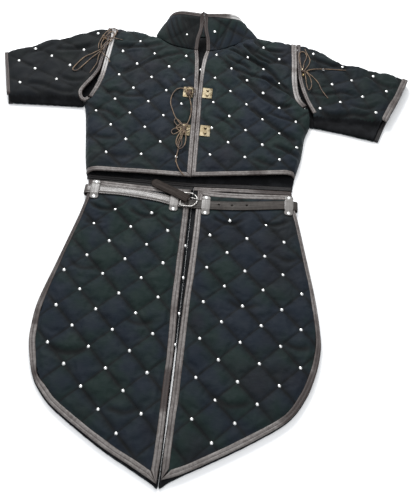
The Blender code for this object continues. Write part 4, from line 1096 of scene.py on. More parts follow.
            # painted shade in the crease troughs, for the cloth's colour
            narrow = np.exp(-(d / max(half * 0.62, 3.8)) ** 2) * ease(ends / 22.0) * wavy
            self.paintedShade = np.maximum(self.paintedShade, np.clip(narrow * depth * 0.62, 0, 1))
        self.paintedShade = np.maximum(self.paintedShade, paintedPanelShade.get(self.quilt, 0.0))
        low = self.inner(p) - self.seam(p) + 1.2
        return self.seam(p) + np.maximum(height, low)


def panelGrid(name, quilt, loop, bound, cells, tips=()):
    # a grid along the stitched lines, cut back to the outline and its border drawn onto it
    origin, along, across = quiltFrame(quilt)
    square = layout["square"]
    local = quiltUv(loop, quilt)
    low = np.floor(local.min(0) * cells) - 1
    high = np.ceil(local.max(0) * cells) + 1
    a = np.arange(low[0], high[0] + 1) / cells
    b = np.arange(low[1], high[1] + 1) / cells
    gridA, gridB = np.meshgrid(a, b)
    flat = origin + gridA[..., None] * along * square + gridB[..., None] * across * square
    places = np.dstack([flat, np.zeros(flat.shape[:2])])
    obj = wrapGrid(name, places, np.dstack([gridA, gridB]), closed=False)
    p = getCo(obj.data)[:, :2]
    outline = closeLoop(loop)
    keep = insideLoop(p, loop) | (distanceTo(p, outline) < square / cells * 0.35)
    for rows, width in bound:
        keep &= distanceTo(p, smoothRow(rows, 8.0)) > width - 6.0
    makeActive(obj)
    obj.data.vertices.foreach_set("select", ~keep)
    obj.data.edges.foreach_set("select", np.zeros(len(obj.data.edges), bool))
    obj.data.polygons.foreach_set("select", np.zeros(len(obj.data.polygons), bool))
    bpy.ops.object.mode_set(mode="EDIT")
    bpy.ops.mesh.select_mode(type="VERT")
    bpy.ops.mesh.delete(type="VERT")
    bpy.ops.object.mode_set(mode="OBJECT")
    editAll(obj, bpy.ops.mesh.normals_make_consistent, inside=False)
    editAll(obj, bpy.ops.mesh.delete_loose, use_verts=True, use_edges=True, use_faces=False)
    co = getCo(obj.data)
    p = co[:, :2].copy()
    near = borderOf(obj.data) & (distanceTo(p, outline) < square / cells * 1.5)
    p[near] = nearestOn(p[near], outline)
    for tip in tips:
        p[np.linalg.norm(p - tip, axis=1).argmin()] = tip
    co[:, :2] = p
    setCo(obj.data, co)
    return obj, p


def borderOf(mesh):
    count = np.zeros(len(mesh.edges), int)
    index = np.empty(len(mesh.loops), int)
    mesh.loops.foreach_get("edge_index", index)
    np.add.at(count, index, 1)
    ends = np.empty(len(mesh.edges) * 2, int)
    mesh.edges.foreach_get("vertices", ends)
    border = np.zeros(len(mesh.vertices), bool)
    border[ends.reshape(-1, 2)[count == 1].ravel()] = True
    return border


def faceUp(obj):
    # the solidify step needs the sheet's faces to point up
    normals = np.empty(len(obj.data.polygons) * 3)
    obj.data.polygons.foreach_get("normal", normals)
    if normals.reshape(-1, 3)[:, 2].sum() < 0:
        editAll(obj, bpy.ops.mesh.flip_normals)


swellLook = {
    "frames": 18, "capUp": 3.2, "capDown": 2.6, "capSide": 2.4,
    "cloth": {
        "quality": 5, "mass": 0.0012, "tension_stiffness": 12.0, "compression_stiffness": 12.0,
        "shear_stiffness": 4.0, "bending_stiffness": 0.04, "use_pressure": True,
        "uniform_pressure_force": 4.0,
        "shrink_min": -0.045, "vertex_group_mass": "stitched", "pin_stiffness": 1.0,
    },
}


def swell(obj, pad, top):
    # the padding pushes the cloth out between its stitched lines, which stay where they are
    look = swellLook
    makeActive(obj)
    bpy.ops.object.duplicate()
    sheet = bpy.context.object
    setCo(sheet.data, top * 0.001)
    p = top[:, :2]
    uv = quiltUv(p, pad.quilt)
    line = np.abs(uv - np.round(uv)).min(1) * layout["square"]
    rim = distanceTo(p, closeLoop(pad.loop))
    held = (line < 0.8) | (rim < 5.0) | borderOf(sheet.data) | (pad.free(p) < 0.25)
    held |= (pad.fromStrips(p) < 1.5) | (pad.paintedShade > 0.55)
    if pad.fold is not None:
        held |= pad.overFold(p) < 8.0
    group = sheet.vertex_groups.new(name="stitched")
    group.add([int(k) for k in np.flatnonzero(held)], 1.0, "REPLACE")
    cloth = sheet.modifiers.new("padding", "CLOTH")
    for key, value in look["cloth"].items():
        setattr(cloth.settings, key, value)
    cloth.settings.effector_weights.gravity = 0.0
    cloth.collision_settings.use_collision = False
    scene = bpy.context.scene
    cloth.point_cache.frame_start = 1
    cloth.point_cache.frame_end = look["frames"] + 1
    for frameNumber in range(1, look["frames"] + 1):
        scene.frame_set(frameNumber)
    makeActive(sheet)
    bpy.ops.object.modifier_apply(modifier=cloth.name)
    moved = getCo(sheet.data) * 1000
    bpy.data.objects.remove(sheet, do_unlink=True)
    scene.frame_set(1)
    shift = moved - top
    print("  swelled", round(float(shift[:, 2].mean()), 2), round(float(np.abs(shift).max()), 2), "mm")
    shift[:, :2] = np.clip(shift[:, :2], -look["capSide"], look["capSide"])
    shift[:, 2] = np.clip(shift[:, 2], -look["capDown"], look["capUp"])
    shift[borderOf(obj.data)] = 0
    return top + shift


def thicken(obj, top, innerZ):
    # outer and inner skin from the flat sheet
    count = len(obj.data.vertices)
    faceUp(obj)
    obj.data.materials.append(materials["cloth"])
    obj.data.materials.append(materials["liningAndShade"])
    # the inner skin gets the second material, the lining, drawn near black as painted shade
    applyModifier(obj, "SOLIDIFY", thickness=4.0, offset=-1.0, use_even_offset=False, material_offset=1)
    co = getCo(obj.data)
    if len(co) != 2 * count:
        raise ValueError(obj.name + " did not thicken evenly")
    co[count:, :2] = co[:count, :2]
    co[:count] = top
    co[count:, 2] = innerZ
    setCo(obj.data, co)


def finishPad(obj, name):
    applyModifier(obj, "SUBSURF", levels=1, render_levels=1)
    finishPiece(obj, None, name)


def setFaces(obj, choose, slot):
    # faces whose middle is chosen get the material of the slot
    co = np.array([poly.center[:] for poly in obj.data.polygons])
    index = np.empty(len(co), int)
    obj.data.polygons.foreach_get("material_index", index)
    index[choose(co)] = slot
    obj.data.polygons.foreach_set("material_index", index)


def pressLaces(top):
    # the laces and knots sink into the padding and press it down beside them
    drop = 0.25
    for rows, thick in [(rows, layout["lace"]) for rows in laceRoutes.values()] + list(extraStrands.values()):
        path = smoothRow(rows, 5.0)
        near = distanceTo(top[:, :2], path[:, :2]) < 14.0
        if not near.any():
            continue
        p = top[near]
        gap = np.linalg.norm(p[:, None, :2] - path[None, :, :2], axis=2)
        level = laceHeight(path[gap.argmin(1), 2]) - thick / 2 - drop
        beside = distanceTo(p[:, :2], path[:, :2])
        top[near, 2] = np.minimum(p[:, 2], level + 9.0 * ease((beside - 4.0) / 8.0))
    for x, y, z, half, *_ in knotPlaces.values():
        beside = np.linalg.norm(top[:, :2] - (x, y), axis=1)
        level = laceHeight(z) - half[2] - drop
        top[:, 2] = np.minimum(top[:, 2], level + 12.0 * ease((beside - max(half)) / 9.0))
    return top


def makePadded(name, quilt, edges, bound, closed, hollow, pressed, fold=None):
    loop = joinEdges(edges, 5.0)
    obj, p = panelGrid(name + "_pad", quilt, loop, bound, layout["cells"])
    pad = Pad(quilt, loop, bound, closed, hollow, pressed, fold)
    top = np.column_stack([p, pad.outer(p)])
    faceUp(obj)
    top = swell(obj, pad, top)
    if hollow:
        top = pressLaces(top)
        top[:, 2] = np.maximum(top[:, 2], pad.inner(p) + 1.0)
    # the painted shade mask that the cloth material reads
    paintedShade = obj.data.attributes.new("paintedShade", "FLOAT", "POINT")
    paintedShade.data.foreach_set("value", pad.paintedShade)
    thicken(obj, top, pad.inner(p))
    # painted shade: below the sleeve's fold the outer faces take the near-black lining, for the underside
    # that lies in shade
    if fold is not None:
        setFaces(obj, lambda co: pad.overFold(co[:, :2]) < 0, 1)
    finishPad(obj, name)
    print(name, len(obj.data.polygons), "faces")
    return pad


def boxPath(x, y, halfX, halfY):
    return np.array([(x, y - halfY + halfX), (x, y + halfY - halfX)], float), halfX


plateZones = [boxPath(x + side * plateSet["width"] / 2, y, plateSet["width"] / 2, plateSet["height"] / 2)
              for _, x, y, side in plateSet["places"]]
beltLine = np.vstack([smoothRow(beltSet["runRight"], 20), smoothRow(beltSet["runLeft"], 20)])
beltZones = [(beltLine, beltSet["width"] / 2 + 1.5)]
for _, keeperX, keeperY, keeperLength in beltSet["keepers"]:
    beltZones.append(boxPath(keeperX, keeperY, beltSet["keeperWidth"] / 2, keeperLength / 2 + 2))
side = layout["sideRun"]
pads = {}
pads["frontRight"] = makePadded(
    "jacket_front_right", "frontRight",
    [(hemRight, True), (sideRight, False), (armholeRight, False), (shoulderRight, False), (neckRight, False),
     (frontEdgeRight, True)],
    [(hemRight, 12), (armholeStripRight, 13), (frontEdgeRight, 12)],
    [(sideRight, side), (shoulderRight, side)],
    layout["hollow"], plateZones)
pads["frontLeft"] = makePadded(
    "jacket_front_left", "frontLeft",
    [(hemLeft, False), (sideLeft, False), (armholeLeft, False), (shoulderLeft, False), (neckLeft, False),
     (frontEdgeLeft, True)],
    [(hemLeft, 12), (armholeStripLeft, 16), (frontEdgeLeft, 11)], [(sideLeft, side), (shoulderLeft, side)],
    layout["hollow"], plateZones)
pads["sleeveRight"] = makePadded(
    "sleeve_upper_right", "sleeveRight",
    [(headRight, False), (sleeveTopRight, False), (cuffRight, False), (lowRight, False)],
    [(headStripRight[2:], 10.5), (cuffRight, 9.5)], [(sleeveTopRight, side), (lowRight, 24.0)],
    layout["hollow"], [], foldRight)
pads["sleeveLeft"] = makePadded(
    "sleeve_upper_left", "sleeveLeft",
    [(headLeft, False), (sleeveTopLeft, False), (cuffLeft, False), (lowLeft, False)],
    [(headStripLeft, 10.5), (cuffLeft, 17)], [(sleeveTopLeft, side), (lowLeft, 46.0)], layout["hollow"], [],
    foldLeft)
pads["skirtRight"] = makePadded(
    "skirt_front_right", "skirtRight",
    [(waistRight, True), (skirtSideRight, False), (splitRight, True)],
    [(waistRight, 15), (skirtSideRight[:6], 9.5), (skirtSideRight[5:], 14.5), (splitRight, 15)], [], 0.0,
    beltZones)
pads["skirtLeft"] = makePadded(
    "skirt_front_left", "skirtLeft",
    [(waistLeft, False), (skirtSideLeft, False), (splitLeft, True)],
    [(waistLeft, 15), (skirtSideLeft[:6], 9.5), (skirtSideLeft[5:], 14.5), (splitLeft, 15)], [], 0.0,
    beltZones)
print("padded fronts ready")


backLook = {"cells": 8, "puff": 2.6, "fill": 0.3}


def makeBack(name, quilt, edges, bound, showing, tips=()):
    # a wall that rests flat: plain underneath, quilted on top where showing says how much
    loop = joinEdges(edges, 6.0)
    obj, p = panelGrid(name + "_pad", quilt, loop, bound, backLook["cells"], tips)
    f = quiltUv(p, quilt)
    f = f - np.floor(f)
    body = (16 * f[:, 0] * (1 - f[:, 0]) * f[:, 1] * (1 - f[:, 1])) ** 0.5
    inside = distanceTo(p, closeLoop(loop))
    rim = ease(inside / 10.0)
    top = layout["backWall"] - 0.8 - (1 - body) * backLook["puff"] * showing * rim - 1.2 * (1 - rim)
    thicken(obj, np.column_stack([p, top]), 0.05 + 0.7 * (1 - ease(inside / 4.0)))
    # the top faces are the garment's inside and take the lining, drawn near black as painted shade
    setFaces(obj, lambda co: co[:, 2] > layout["backWall"] * 0.45, 1)
    setFaces(obj, lambda co: co[:, 2] <= layout["backWall"] * 0.45, 0)
    finishPad(obj, name)


makeBack("jacket_back", "back",
         [(hemBack, True), ([(-268, -20.6), (-272, -9)], False), (sideRight, False),
          (backArmholeRight, False),
          (shoulderRight, False), (neckBack, False), (shoulderLeft, True), (backArmholeLeft, True),
          (sideLeft, True), ([(265, -1.2), (271, 41)], True)],
         [(hemBack, 12)], 0.8)
makeBack("skirt_back_right", "skirtBack",
         [(backWaistRight, True), (backSideRight, False), (backSplitRight, True)],
         [(backWaistRight, 12)], 0.8, [(4.9, -771), (6.2, -738)])
makeBack("skirt_back_left", "skirtBack",
         [(backWaistLeft, False), (backSideLeft, False), (backSplitLeft, True)],
         [(backWaistLeft, 12)], 0.8, [(5.7, -771), (6.8, -738)])
makeBack("sleeve_under_right", "sleeveRight",
         [(underHeadRight, False), (sleeveTopRight, False), (cuffRight, False), (lowRight, False),
          ([(-320, 219), (-319, 218)], False)], [(cuffRight, 12)], 0.6)
makeBack("sleeve_under_left", "sleeveLeft",
         [(underHeadLeft, False), (sleeveTopLeft, False), (cuffLeft, False), (lowLeft, False),
          ([lowLeft[-1], underHeadLeft[0]], False)], [(cuffLeft, 12)], 0.6)
print("backs ready")


# Folded leather bindings

bindingShape = {
    "step": 3.0, "lift": 1.0, "wobble": 0.7, "ripple": 0.45,
    # share of the width from the outer edge, level (0 bottom, 1 top), extra millimetres
    "section": [(0.96, 0.0, 0.3), (0.5, 0.0, 0.1), (0.14, 0.0, 0.3), (0.035, 0.12, 0.0), (0.0, 0.38, 0.0),
                (0.0, 0.62, 0.0),
                (0.03, 0.86, 0.0), (0.11, 1.0, -0.15), (0.24, 1.0, 0.45), (0.37, 1.0, 0.3),
                (0.44, 1.0, -0.35),
                (0.5, 1.0, -0.45), (0.56, 1.0, -0.2), (0.68, 1.0, 0.35), (0.8, 1.0, 0.3), (0.91, 1.0, -0.15),
                (0.985, 1.0, -0.7), (1.0, 1.0, -1.5)],
}
# how brown each strip is along its length: (share of the length, 0 pale to 1 brown)
bindingTones = {
    "hem_right": [(0, 0.55), (0.1, 0.35), (0.35, 0.2), (0.6, 0.35), (0.8, 0.15), (1, 0.3)],
    "hem_left": [(0, 0.2), (0.2, 0.35), (0.45, 0.25), (0.6, 0.6), (0.8, 0.3), (1, 0.4)],
    "edge_right": [(0, 0.3), (0.25, 0.25), (0.45, 0.5), (0.56, 0.7), (0.65, 0.4), (0.85, 0.3), (1, 0.5)],
    "edge_left": [(0, 0.25), (0.3, 0.3), (0.5, 0.55), (0.62, 0.45), (0.75, 0.1), (0.82, -0.35), (0.92, -0.3),
                  (1, 0.4)],
    "armhole_right": [(0, 1.0), (0.15, 0.7), (0.25, 0.4), (0.36, -0.4), (0.5, -0.7), (0.9, -0.7), (1, 0.2)],
    "armhole_left": [(0, 0.9), (0.06, 0.5), (0.12, -0.3), (0.3, -0.2), (0.42, -0.4), (0.5, -0.3), (0.54, 0.7),
                     (0.58, -0.3),
                     (0.7, -0.1), (1, 0.0)],
    "head_right": [(0, 0.45), (0.1, 0.5), (0.25, 0.55), (0.45, 0.8), (0.6, 1.0), (1, 1.1)],
    "head_left": [(0, 0.55), (0.2, 0.35), (0.4, 0.5), (0.6, 0.85), (1, 0.8)],
    "cuff_right": [(0, 1.3), (0.5, 1.1), (1, 1.3)],
    "cuff_left": [(0, 0.65), (0.3, 0.4), (0.6, 0.45), (1, 0.1)],
    "waist_right": [(0, 1.0), (0.13, 0.95), (0.18, 0.35), (0.35, 0.2), (0.5, 0.35), (0.8, 0.25), (1, 0.3)],
    "waist_left": [(0, 0.3), (0.2, 0.0), (0.6, -0.2), (0.9, 0.0), (1, 0.3)],
    "side_right": [(0, 1.1), (0.1, 1.0), (0.25, 0.95), (0.37, 0.7), (0.44, 0.5), (0.46, 0.8), (0.47, 0.15),
                   (0.53, 0.2),
                   (0.6, 0.85), (0.64, 0.1), (0.85, 0.05), (1, 0.3)],
    "side_left": [(0, 0.5), (0.2, 0.45), (0.38, 0.4), (0.44, 0.6), (0.5, 0.9), (0.67, 0.95), (0.70, 0.1),
                  (1, 0.2)],
    "split_right": [(0, 0.5), (0.2, 0.5), (0.35, 0.25), (0.5, 0.3), (0.66, 0.4), (0.69, 0.95), (0.79, 1.0),
                    (0.81, 0.1),
                    (1, 0.2)],
    "split_left": [(0, 0.2), (0.08, -0.15), (0.4, -0.05), (0.5, 0.2), (0.66, 0.15), (0.68, 0.45), (0.8, 0.3),
                   (1, 0.35)],
    "back_waist_left": [(0, 0.1), (0.3, 0.15), (0.6, 0.5), (0.8, 1.1), (1, 1.2)],
}


def runNoise(run, size, seed):
    return softNoise(np.stack([run, run * 0], 1), size, seed) - 0.5


def makeBinding(name, rows, width, top, bottom, insidePoint, material, corners, nodes, seed, pinch=()):
    # corners: tangent of half the corner's angle at the first and last end, None for a free end
    shape = bindingShape
    row = smoothRow(rows, shape["step"])
    along = directionOf(row)
    normal = np.stack([-along[:, 1], along[:, 0]], 1)
    if (np.array(insidePoint) - row[len(row) // 2]) @ normal[len(row) // 2] < 0:
        normal = -normal
    run = runOf(row)
    wide = np.full(len(row), float(width))
    wide += runNoise(run, 42.0, seed) * shape["wobble"] * 2
    for share, reach, less in pinch:
        wide *= 1 - less * np.exp(-((run - share * run[-1]) / reach) ** 2)
    if corners[0] is not None:
        wide = np.minimum(wide, run * corners[0] + 0.02)
    if corners[1] is not None:
        wide = np.minimum(wide, (run[-1] - run) * corners[1] + 0.02)
    topZ, lowZ = top(row), bottom(row)
    section = shape["section"] + [shape["section"][0]]
    places = np.zeros((len(row), len(section), 3))
    uv = np.zeros((len(row), len(section), 2))
    ripple = runNoise(run, 13.0, seed + 1) * shape["ripple"]
    ripple += runNoise(run, 5.0, seed + 2) * shape["ripple"] * 0.6
    for k, (share, level, extra) in enumerate(section):
        spot = row + normal * (share * wide)[:, None]
        places[:, k, :2] = spot
        z = lowZ + (topZ - lowZ) * level + extra
        if level == 1.0:
            z = z + ripple * (1.0 - 0.5 * share)
        places[:, k, 2] = np.maximum(z, 0.05)
        uv[:, k, 0] = run * 0.001 + seed
        uv[:, k, 1] = share if level > 0.3 else 0.0
    tones = np.array(bindingTones.get(name, [(0, 0.3), (1, 0.3)]))
    tone = np.interp(run / run[-1], tones[:, 0], tones[:, 1])
    tone = np.repeat(tone[:, None], len(section), 1)
    obj = wrapGrid("binding_" + name, places, uv, tone=tone)
    finishPiece(obj, material, *nodes)


def sameHeight(value):
    return lambda q: np.full(len(q), float(value))


def frontBindings():
    lift = bindingShape["lift"]
    # black is the binding leather drawn near black as painted shade
    grey, black = materials["binding"], materials["bindingPaintedShade"]
    free, flat = (None, None), (sameHeight(8.0), sameHeight(0.0))
    cuffTopLeft = [(595, 421), (565, 347), (539, 291), (522, 252)]
    cuffTopRight = [(-574, 380), (-554, 310), (-539, 254), (-530, 221)]
    for label, sideName, hem, edge, armhole, head, cuff, cuffTop in (
            ("right", "Right", hemRight, frontEdgeRight, armholeStripRight, headStripRight, cuffRight,
             cuffTopRight),
            ("left", "Left", hemLeft, frontEdgeLeft, armholeStripLeft, headStripLeft, cuffLeft, cuffTopLeft)):
        pad = pads["front" + sideName]
        sleeve = pads["sleeve" + sideName]
        sign = -1 if label == "right" else 1
        hemCorner, edgeWidth, armholeWidth, cuffWidth = {
            "right": ((None, 1.0), 12, 13, 9.5), "left": ((1.0, None), 11, 16, 17)}[label]
        body = (lambda q, pad=pad: pad.seam(q) + lift, pad.inner, (sign * 150, 250), grey)
        arm = (lambda q, pad=sleeve: pad.seam(q) + lift, sleeve.inner, (sign * 430, 330), grey)
        makeBinding("hem_" + label, hem, 12, *body, hemCorner, ["front_binding_" + label], 1 + sign)
        makeBinding("edge_" + label, edge, edgeWidth, *body, (1.0, None), ["front_binding_" + label],
                    3 + sign)
        makeBinding("armhole_" + label, armhole, armholeWidth, *body, free, ["armhole_binding_" + label],
                    5 + sign)
        makeBinding("head_" + label, head, 10.5, *arm, free, ["sleeve_head_binding_" + label], 7 + sign)
        makeBinding("cuff_" + label, cuffTop, cuffWidth, *arm, free, ["cuff_binding_upper_" + label],
                    9 + sign)
        makeBinding("cuff_under_" + label, cuff, 12, *flat, arm[2], black, free,
                    ["cuff_binding_under_" + label], 11 + sign)
    makeBinding("back_hem", hemBack, 12, *flat, (0, 200), black, free, ["back_hem_binding"], 13)
    skirtOver, skirtUnder = sameHeight(skirtTop + lift), sameHeight(layout["frontBase"])
    pinchRight = [(0.60, 26.0, 0.3), (0.07, 120.0, 0.36), (0.26, 120.0, 0.36)]
    pinchLeft = [(0.08, 120.0, 0.34), (0.27, 120.0, 0.34), (0.42, 60.0, 0.2)]
    # the right back waist strip takes the near-black painted-shade leather, the left one the grey
    for label, waist, sideRow, split, backWaist, sign, corner, pinch, backLeather in (
            ("right", waistRight, skirtSideRight, splitRight, backWaistRight, -1, 1.05, pinchRight, black),
            ("left", waistLeft, skirtSideLeft, splitLeft, backWaistLeft, 1, 1.0, pinchLeft, grey)):
        middle = (sign * 150, -350)
        front = (15, skirtOver, skirtUnder, middle, grey)
        nodes = ["skirt_binding_" + label]
        makeBinding("waist_" + label, waist, *front, (corner, 1.0), nodes, 15 + sign)
        makeBinding("side_" + label, sideRow, *front, (1.0, 0.62), nodes, 17 + sign, pinch)
        makeBinding("split_" + label, split, *front, (1.0, 0.62), nodes, 19 + sign)
        makeBinding("back_waist_" + label, backWaist, 12, *flat, middle, backLeather, free,
                    ["waist_binding_back_" + label], 21 + sign)


frontBindings()
print("bindings ready")


# Stand collar

collarLook = {
    "wall": 5.0, "puff": 4.2, "columns": 220, "rows": 34, "binding": 11.0,
    # creases: place at the neck seam, place at the top, half width, depth
    "creases": [(0.35, 0.9, 0.09, 1.6), (0.45, 1.5, 0.11, 2.2), (0.6, 2.2, 0.10, 2.4), (0.85, 2.9, 0.12, 2.2),
                (1.2, 3.7, 0.12, 2.4), (1.8, 4.6, 0.13, 1.8), (17.4, 16.4, 0.10, 1.4),
                (17.0, 15.6, 0.12, 1.8),
                (16.3, 14.8, 0.12, 1.6)],
    "topTones": [(0, 1.1), (0.9, 1.1), (1.2, 1.3), (4, 1.3), (8, 0.9), (11, 0.0), (13, -0.8), (15.6, -0.8),
                 (16.2, 0.3), (17.2, 0.9), (18, 1.0)],
    "frontTones": [(0, 0.7), (0.3, 1.0), (0.6, 1.1), (1, 1.1)],
}
collarLower = np.array([row[:3] for row in collarRows], float)
collarUpper = np.array([row[3:] for row in collarRows], float)


def splineAt(rows, u):
    # the smooth curve through evenly numbered rows, at any u
    ends = withEnds(rows)
    k = np.clip(np.floor(u).astype(int), 0, len(rows) - 2)
    return curvePoint(ends[k], ends[k + 1], ends[k + 2], ends[k + 3], (u - k)[..., None])


def collarAt(u, v, offset):
    low, high = splineAt(collarLower, u), splineAt(collarUpper, u)
    e = 0.02
    u0, u1 = np.clip(u - e, 0, 18), np.clip(u + e, 0, 18)
    alongLow = splineAt(collarLower, u1) - splineAt(collarLower, u0)
    alongHigh = splineAt(collarUpper, u1) - splineAt(collarUpper, u0)
    along = alongLow * (1 - v)[..., None] + alongHigh * v[..., None]
    normal = np.cross(high - low, along)
    flatNormal = normal * (1, 0, 1)
    unit = lambda w: w / np.maximum(np.linalg.norm(w, axis=-1, keepdims=True), 1e-9)
    blend = ease(v * 3.0)[..., None]
    out = unit(unit(flatNormal) * (1 - blend) + unit(normal) * blend)
    place = low * (1 - v)[..., None] + high * v[..., None] + out * offset[..., None]
    # the front ends bow towards each other above and part at the throat
    gap = 12.0 * (1 - v) + 1.2 * v
    bow = (gap * ease((v - 0.30) / 0.42) - 1.6 * np.sin(np.pi * np.clip(v, 0, 1)) * ease((0.5 - v) / 0.4))
    atRight, atLeft = ease(1 - u / 1.6), ease((u - 16.4) / 1.6)
    place[..., 0] += bow * atRight - bow * atLeft
    place[..., 2] += 8.0 * ease((v - 0.7) / 0.3) * (ease(1 - u / 0.35) + 0.4 * ease((u - 17.75) / 0.25))
    for low0, high0, wide, depth in collarLook["creases"]:
        away = (u - low0 - (high0 - low0) * v) / wide
        shift = depth * np.exp(-away ** 2) * ease(v / 0.1) * ease((0.92 - v) / 0.2)
        place -= out * (shift * np.sign(offset + 1e-9) * (offset > 0))[..., None]
    place[..., 2] = np.maximum(place[..., 2], 0.1)
    return place


def collarQuilt(u, v):
    # quilt coordinates from the length round the collar and up it
    fine = np.linspace(0, 18, 400)
    middle = 0.5 * (splineAt(collarLower, fine) + splineAt(collarUpper, fine))
    run = runOf(middle)
    s = np.interp(u, fine, run)
    tall = np.linalg.norm(splineAt(collarUpper, u) - splineAt(collarLower, u), axis=-1)
    up = v * tall
    diagonal = layout["square"] * math.sqrt(2)
    start = np.interp(1.0, fine, run)
    a = ((s - start) + (up - 62)) / diagonal
    b = ((s - start) - (up - 62)) / diagonal
    return np.stack([a, b], -1)


def collarStrip(u):
    return collarLook["binding"] + 5.0 * ease((u - 9.0) / 2.5) * ease((17.2 - u) / 1.2)


def makeCollar():
    look = collarLook
    n, rows = look["columns"], look["rows"]
    length = np.linspace(0, 18, n)
    front = 0.33
    ups = np.linspace(0.0, 1.0, rows)
    ring = [(v, 1) for v in ups] + [(v, -1) for v in ups[::-1][::2]]
    ring.append(ring[0])
    tall = np.linalg.norm(splineAt(collarUpper, length) - splineAt(collarLower, length), axis=-1)[:, None]
    reach = 1 - 7.5 / tall
    u = np.repeat(np.clip(length, front * 0.25, 18 - front * 0.25)[:, None], len(ring), 1)
    v = np.array([r[0] for r in ring])[None] * reach
    sideOf = np.repeat(np.array([r[1] for r in ring], float)[None], n, 0)
    quilt = collarQuilt(u, v)
    f = quilt - np.floor(quilt)
    body = np.clip(16 * f[..., 0] * (1 - f[..., 0]) * f[..., 1] * (1 - f[..., 1]), 0, 1) ** 0.5
    fromTop = (1 - v) * tall - collarStrip(u)
    fromEnd = (np.minimum(u, 18 - u) - 0.27) * 40.0
    edge = np.where(u > 11, 1.0, ease(v * tall / 9.0)) * ease((fromTop + 0.5) / 10.0) * ease(fromEnd / 12.0)
    flat = quilt.reshape(-1, 2) * 65
    wave = (softNoise(flat, 15.0, 4.0) - 0.5).reshape(u.shape) * 0.9
    rest = np.clip((collarAt(u, v, u * 0)[..., 2] - 3.5) / 12.0, 0, 1)
    puff = look["puff"] * body * edge * np.where(sideOf > 0, 1.0, 0.5)
    puff = puff * np.where(sideOf > 0, rest, 1.0) + wave * edge * rest
    offset = sideOf * (look["wall"] / 2 + puff)
    places = collarAt(u, v, offset)
    # painted shade along the collar's creases, added to the shade of its right side
    paintedShade = u * 0
    for low0, high0, wide, depth in look["creases"]:
        away = (u - low0 - (high0 - low0) * v) / (wide * 0.75)
        paintedShade = np.maximum(paintedShade, np.exp(-away ** 2) * ease((0.9 - v) / 0.3) * depth / 1.9)
    # the wearer's right side lies in its own shade
    shade = 0.36 * ease((6.0 - u) / 2.0) + 0.5 * ease((2.1 - u) / 0.9) * ease(v / 0.3)
    paintedShade = np.clip(paintedShade + shade, 0, 1) * (sideOf > 0)
    obj = wrapGrid("collar_pad", places, quilt, tone=paintedShade, toneName="paintedShade")
    obj.data.materials.append(materials["cloth"])
    obj.data.materials.append(materials["liningAndShade"])
    makeActive(obj)
    # the collar's inner side takes the lining, drawn near black as painted shade
    sideFaces = np.zeros(len(obj.data.polygons), int)
    inner = sideOf[:, :-1] + sideOf[:, 1:]
    if len(sideFaces) >= inner[:-1].size:
        sideFaces[:inner[:-1].size] = (inner[:-1].ravel() < 0).astype(int)
    obj.data.polygons.foreach_set("material_index", sideFaces)
    finishPiece(obj, None, "collar")


def collarBinding():
    look = collarLook
    section = [(1.0, 1.0, -0.4), (0.97, 1.0, 0.2), (0.86, 1.0, 0.1), (0.80, 1.0, -0.1), (0.7, 1.0, 0.35),
               (0.4, 1.0, 0.6),
               (0.15, 1.0, 0.4), (0.04, 1.0, -0.4), (0.0, 0.5, 0.0), (0.0, -0.5, 0.0), (0.04, -1.0, 0.4),
               (0.15, -1.0, -0.4), (0.6, -1.0, -0.5), (0.97, -1.0, -0.2), (1.0, -1.0, 0.4)]
    section.append(section[0])
    half = look["wall"] / 2 + 0.5

    def strip(name, u, v, toU, toV, tones, nodes):
        # u, v of the edge, and how far the strip's inner side lies from it
        share = np.array([s[0] for s in section])
        levels = np.array([s[1] for s in section])
        extra = np.array([s[2] for s in section])
        gridU = u[:, None] + toU[:, None] * share
        gridV = v[:, None] + toV[:, None] * share
        offset = np.repeat((levels * half + extra)[None], len(u), 0)
        places = collarAt(np.clip(gridU, 0, 18), gridV, offset)
        run = runOf(places[:, 8]) * 0.001
        uv = np.dstack([np.repeat(run[:, None], len(share), 1), np.repeat(share[None], len(u), 0)])
        tones = np.array(tones)
        along = u if toU[0] == 0 and toU[-1] == 0 and np.ptp(u) > 1 else v
        tone = np.interp(along, tones[:, 0], tones[:, 1])
        obj = wrapGrid(name, places, uv, tone=np.repeat(tone[:, None], len(share), 1))
        finishPiece(obj, materials["binding"], *nodes)

    u = np.linspace(0, 18, 260)
    tall = np.linalg.norm(splineAt(collarUpper, u) - splineAt(collarLower, u), axis=-1)
    width = collarStrip(u)
    fromEnd = np.minimum(u, 18 - u) * np.linalg.norm(collarUpper[1] - collarUpper[0])
    width = np.minimum(width, fromEnd + 0.02)
    strip("binding_collar_top", u, np.ones(len(u)), u * 0, -width / tall, look["topTones"],
          ("collar_binding",))
    v = np.linspace(0.0, 1.0, 44)
    narrow = np.minimum(look["binding"], (1 - v) * 112 + 0.02)
    for label, place, sign, first, second in (("right", 0, 1, 0, 1), ("left", 18, -1, -2, -1)):
        low = np.linalg.norm(collarLower[second] - collarLower[first])
        high = np.linalg.norm(collarUpper[second] - collarUpper[first])
        perU = low * (1 - v) + high * v
        strip("binding_collar_" + label, v * 0 + place, v, sign * narrow / perU, v * 0, look["frontTones"],
              ("collar_binding",))


makeCollar()
collarBinding()
print("collar ready")


# Belt, keepers, buckle and plates

def sweepStrip(name, path, section, wide, thick, sideways, up, seed):
    # a section of (share of the width, share of the thickness) carried along a path
    run = runOf(path)
    places = [path + sideways * (s * wide)[:, None] + up * (h * thick) for s, h in section]
    uv = [np.stack([run * 0.001 + seed, np.full(len(path), s + 0.5)], 1) for s, h in section]
    return wrapGrid(name, np.stack(places, 1), np.stack(uv, 1))


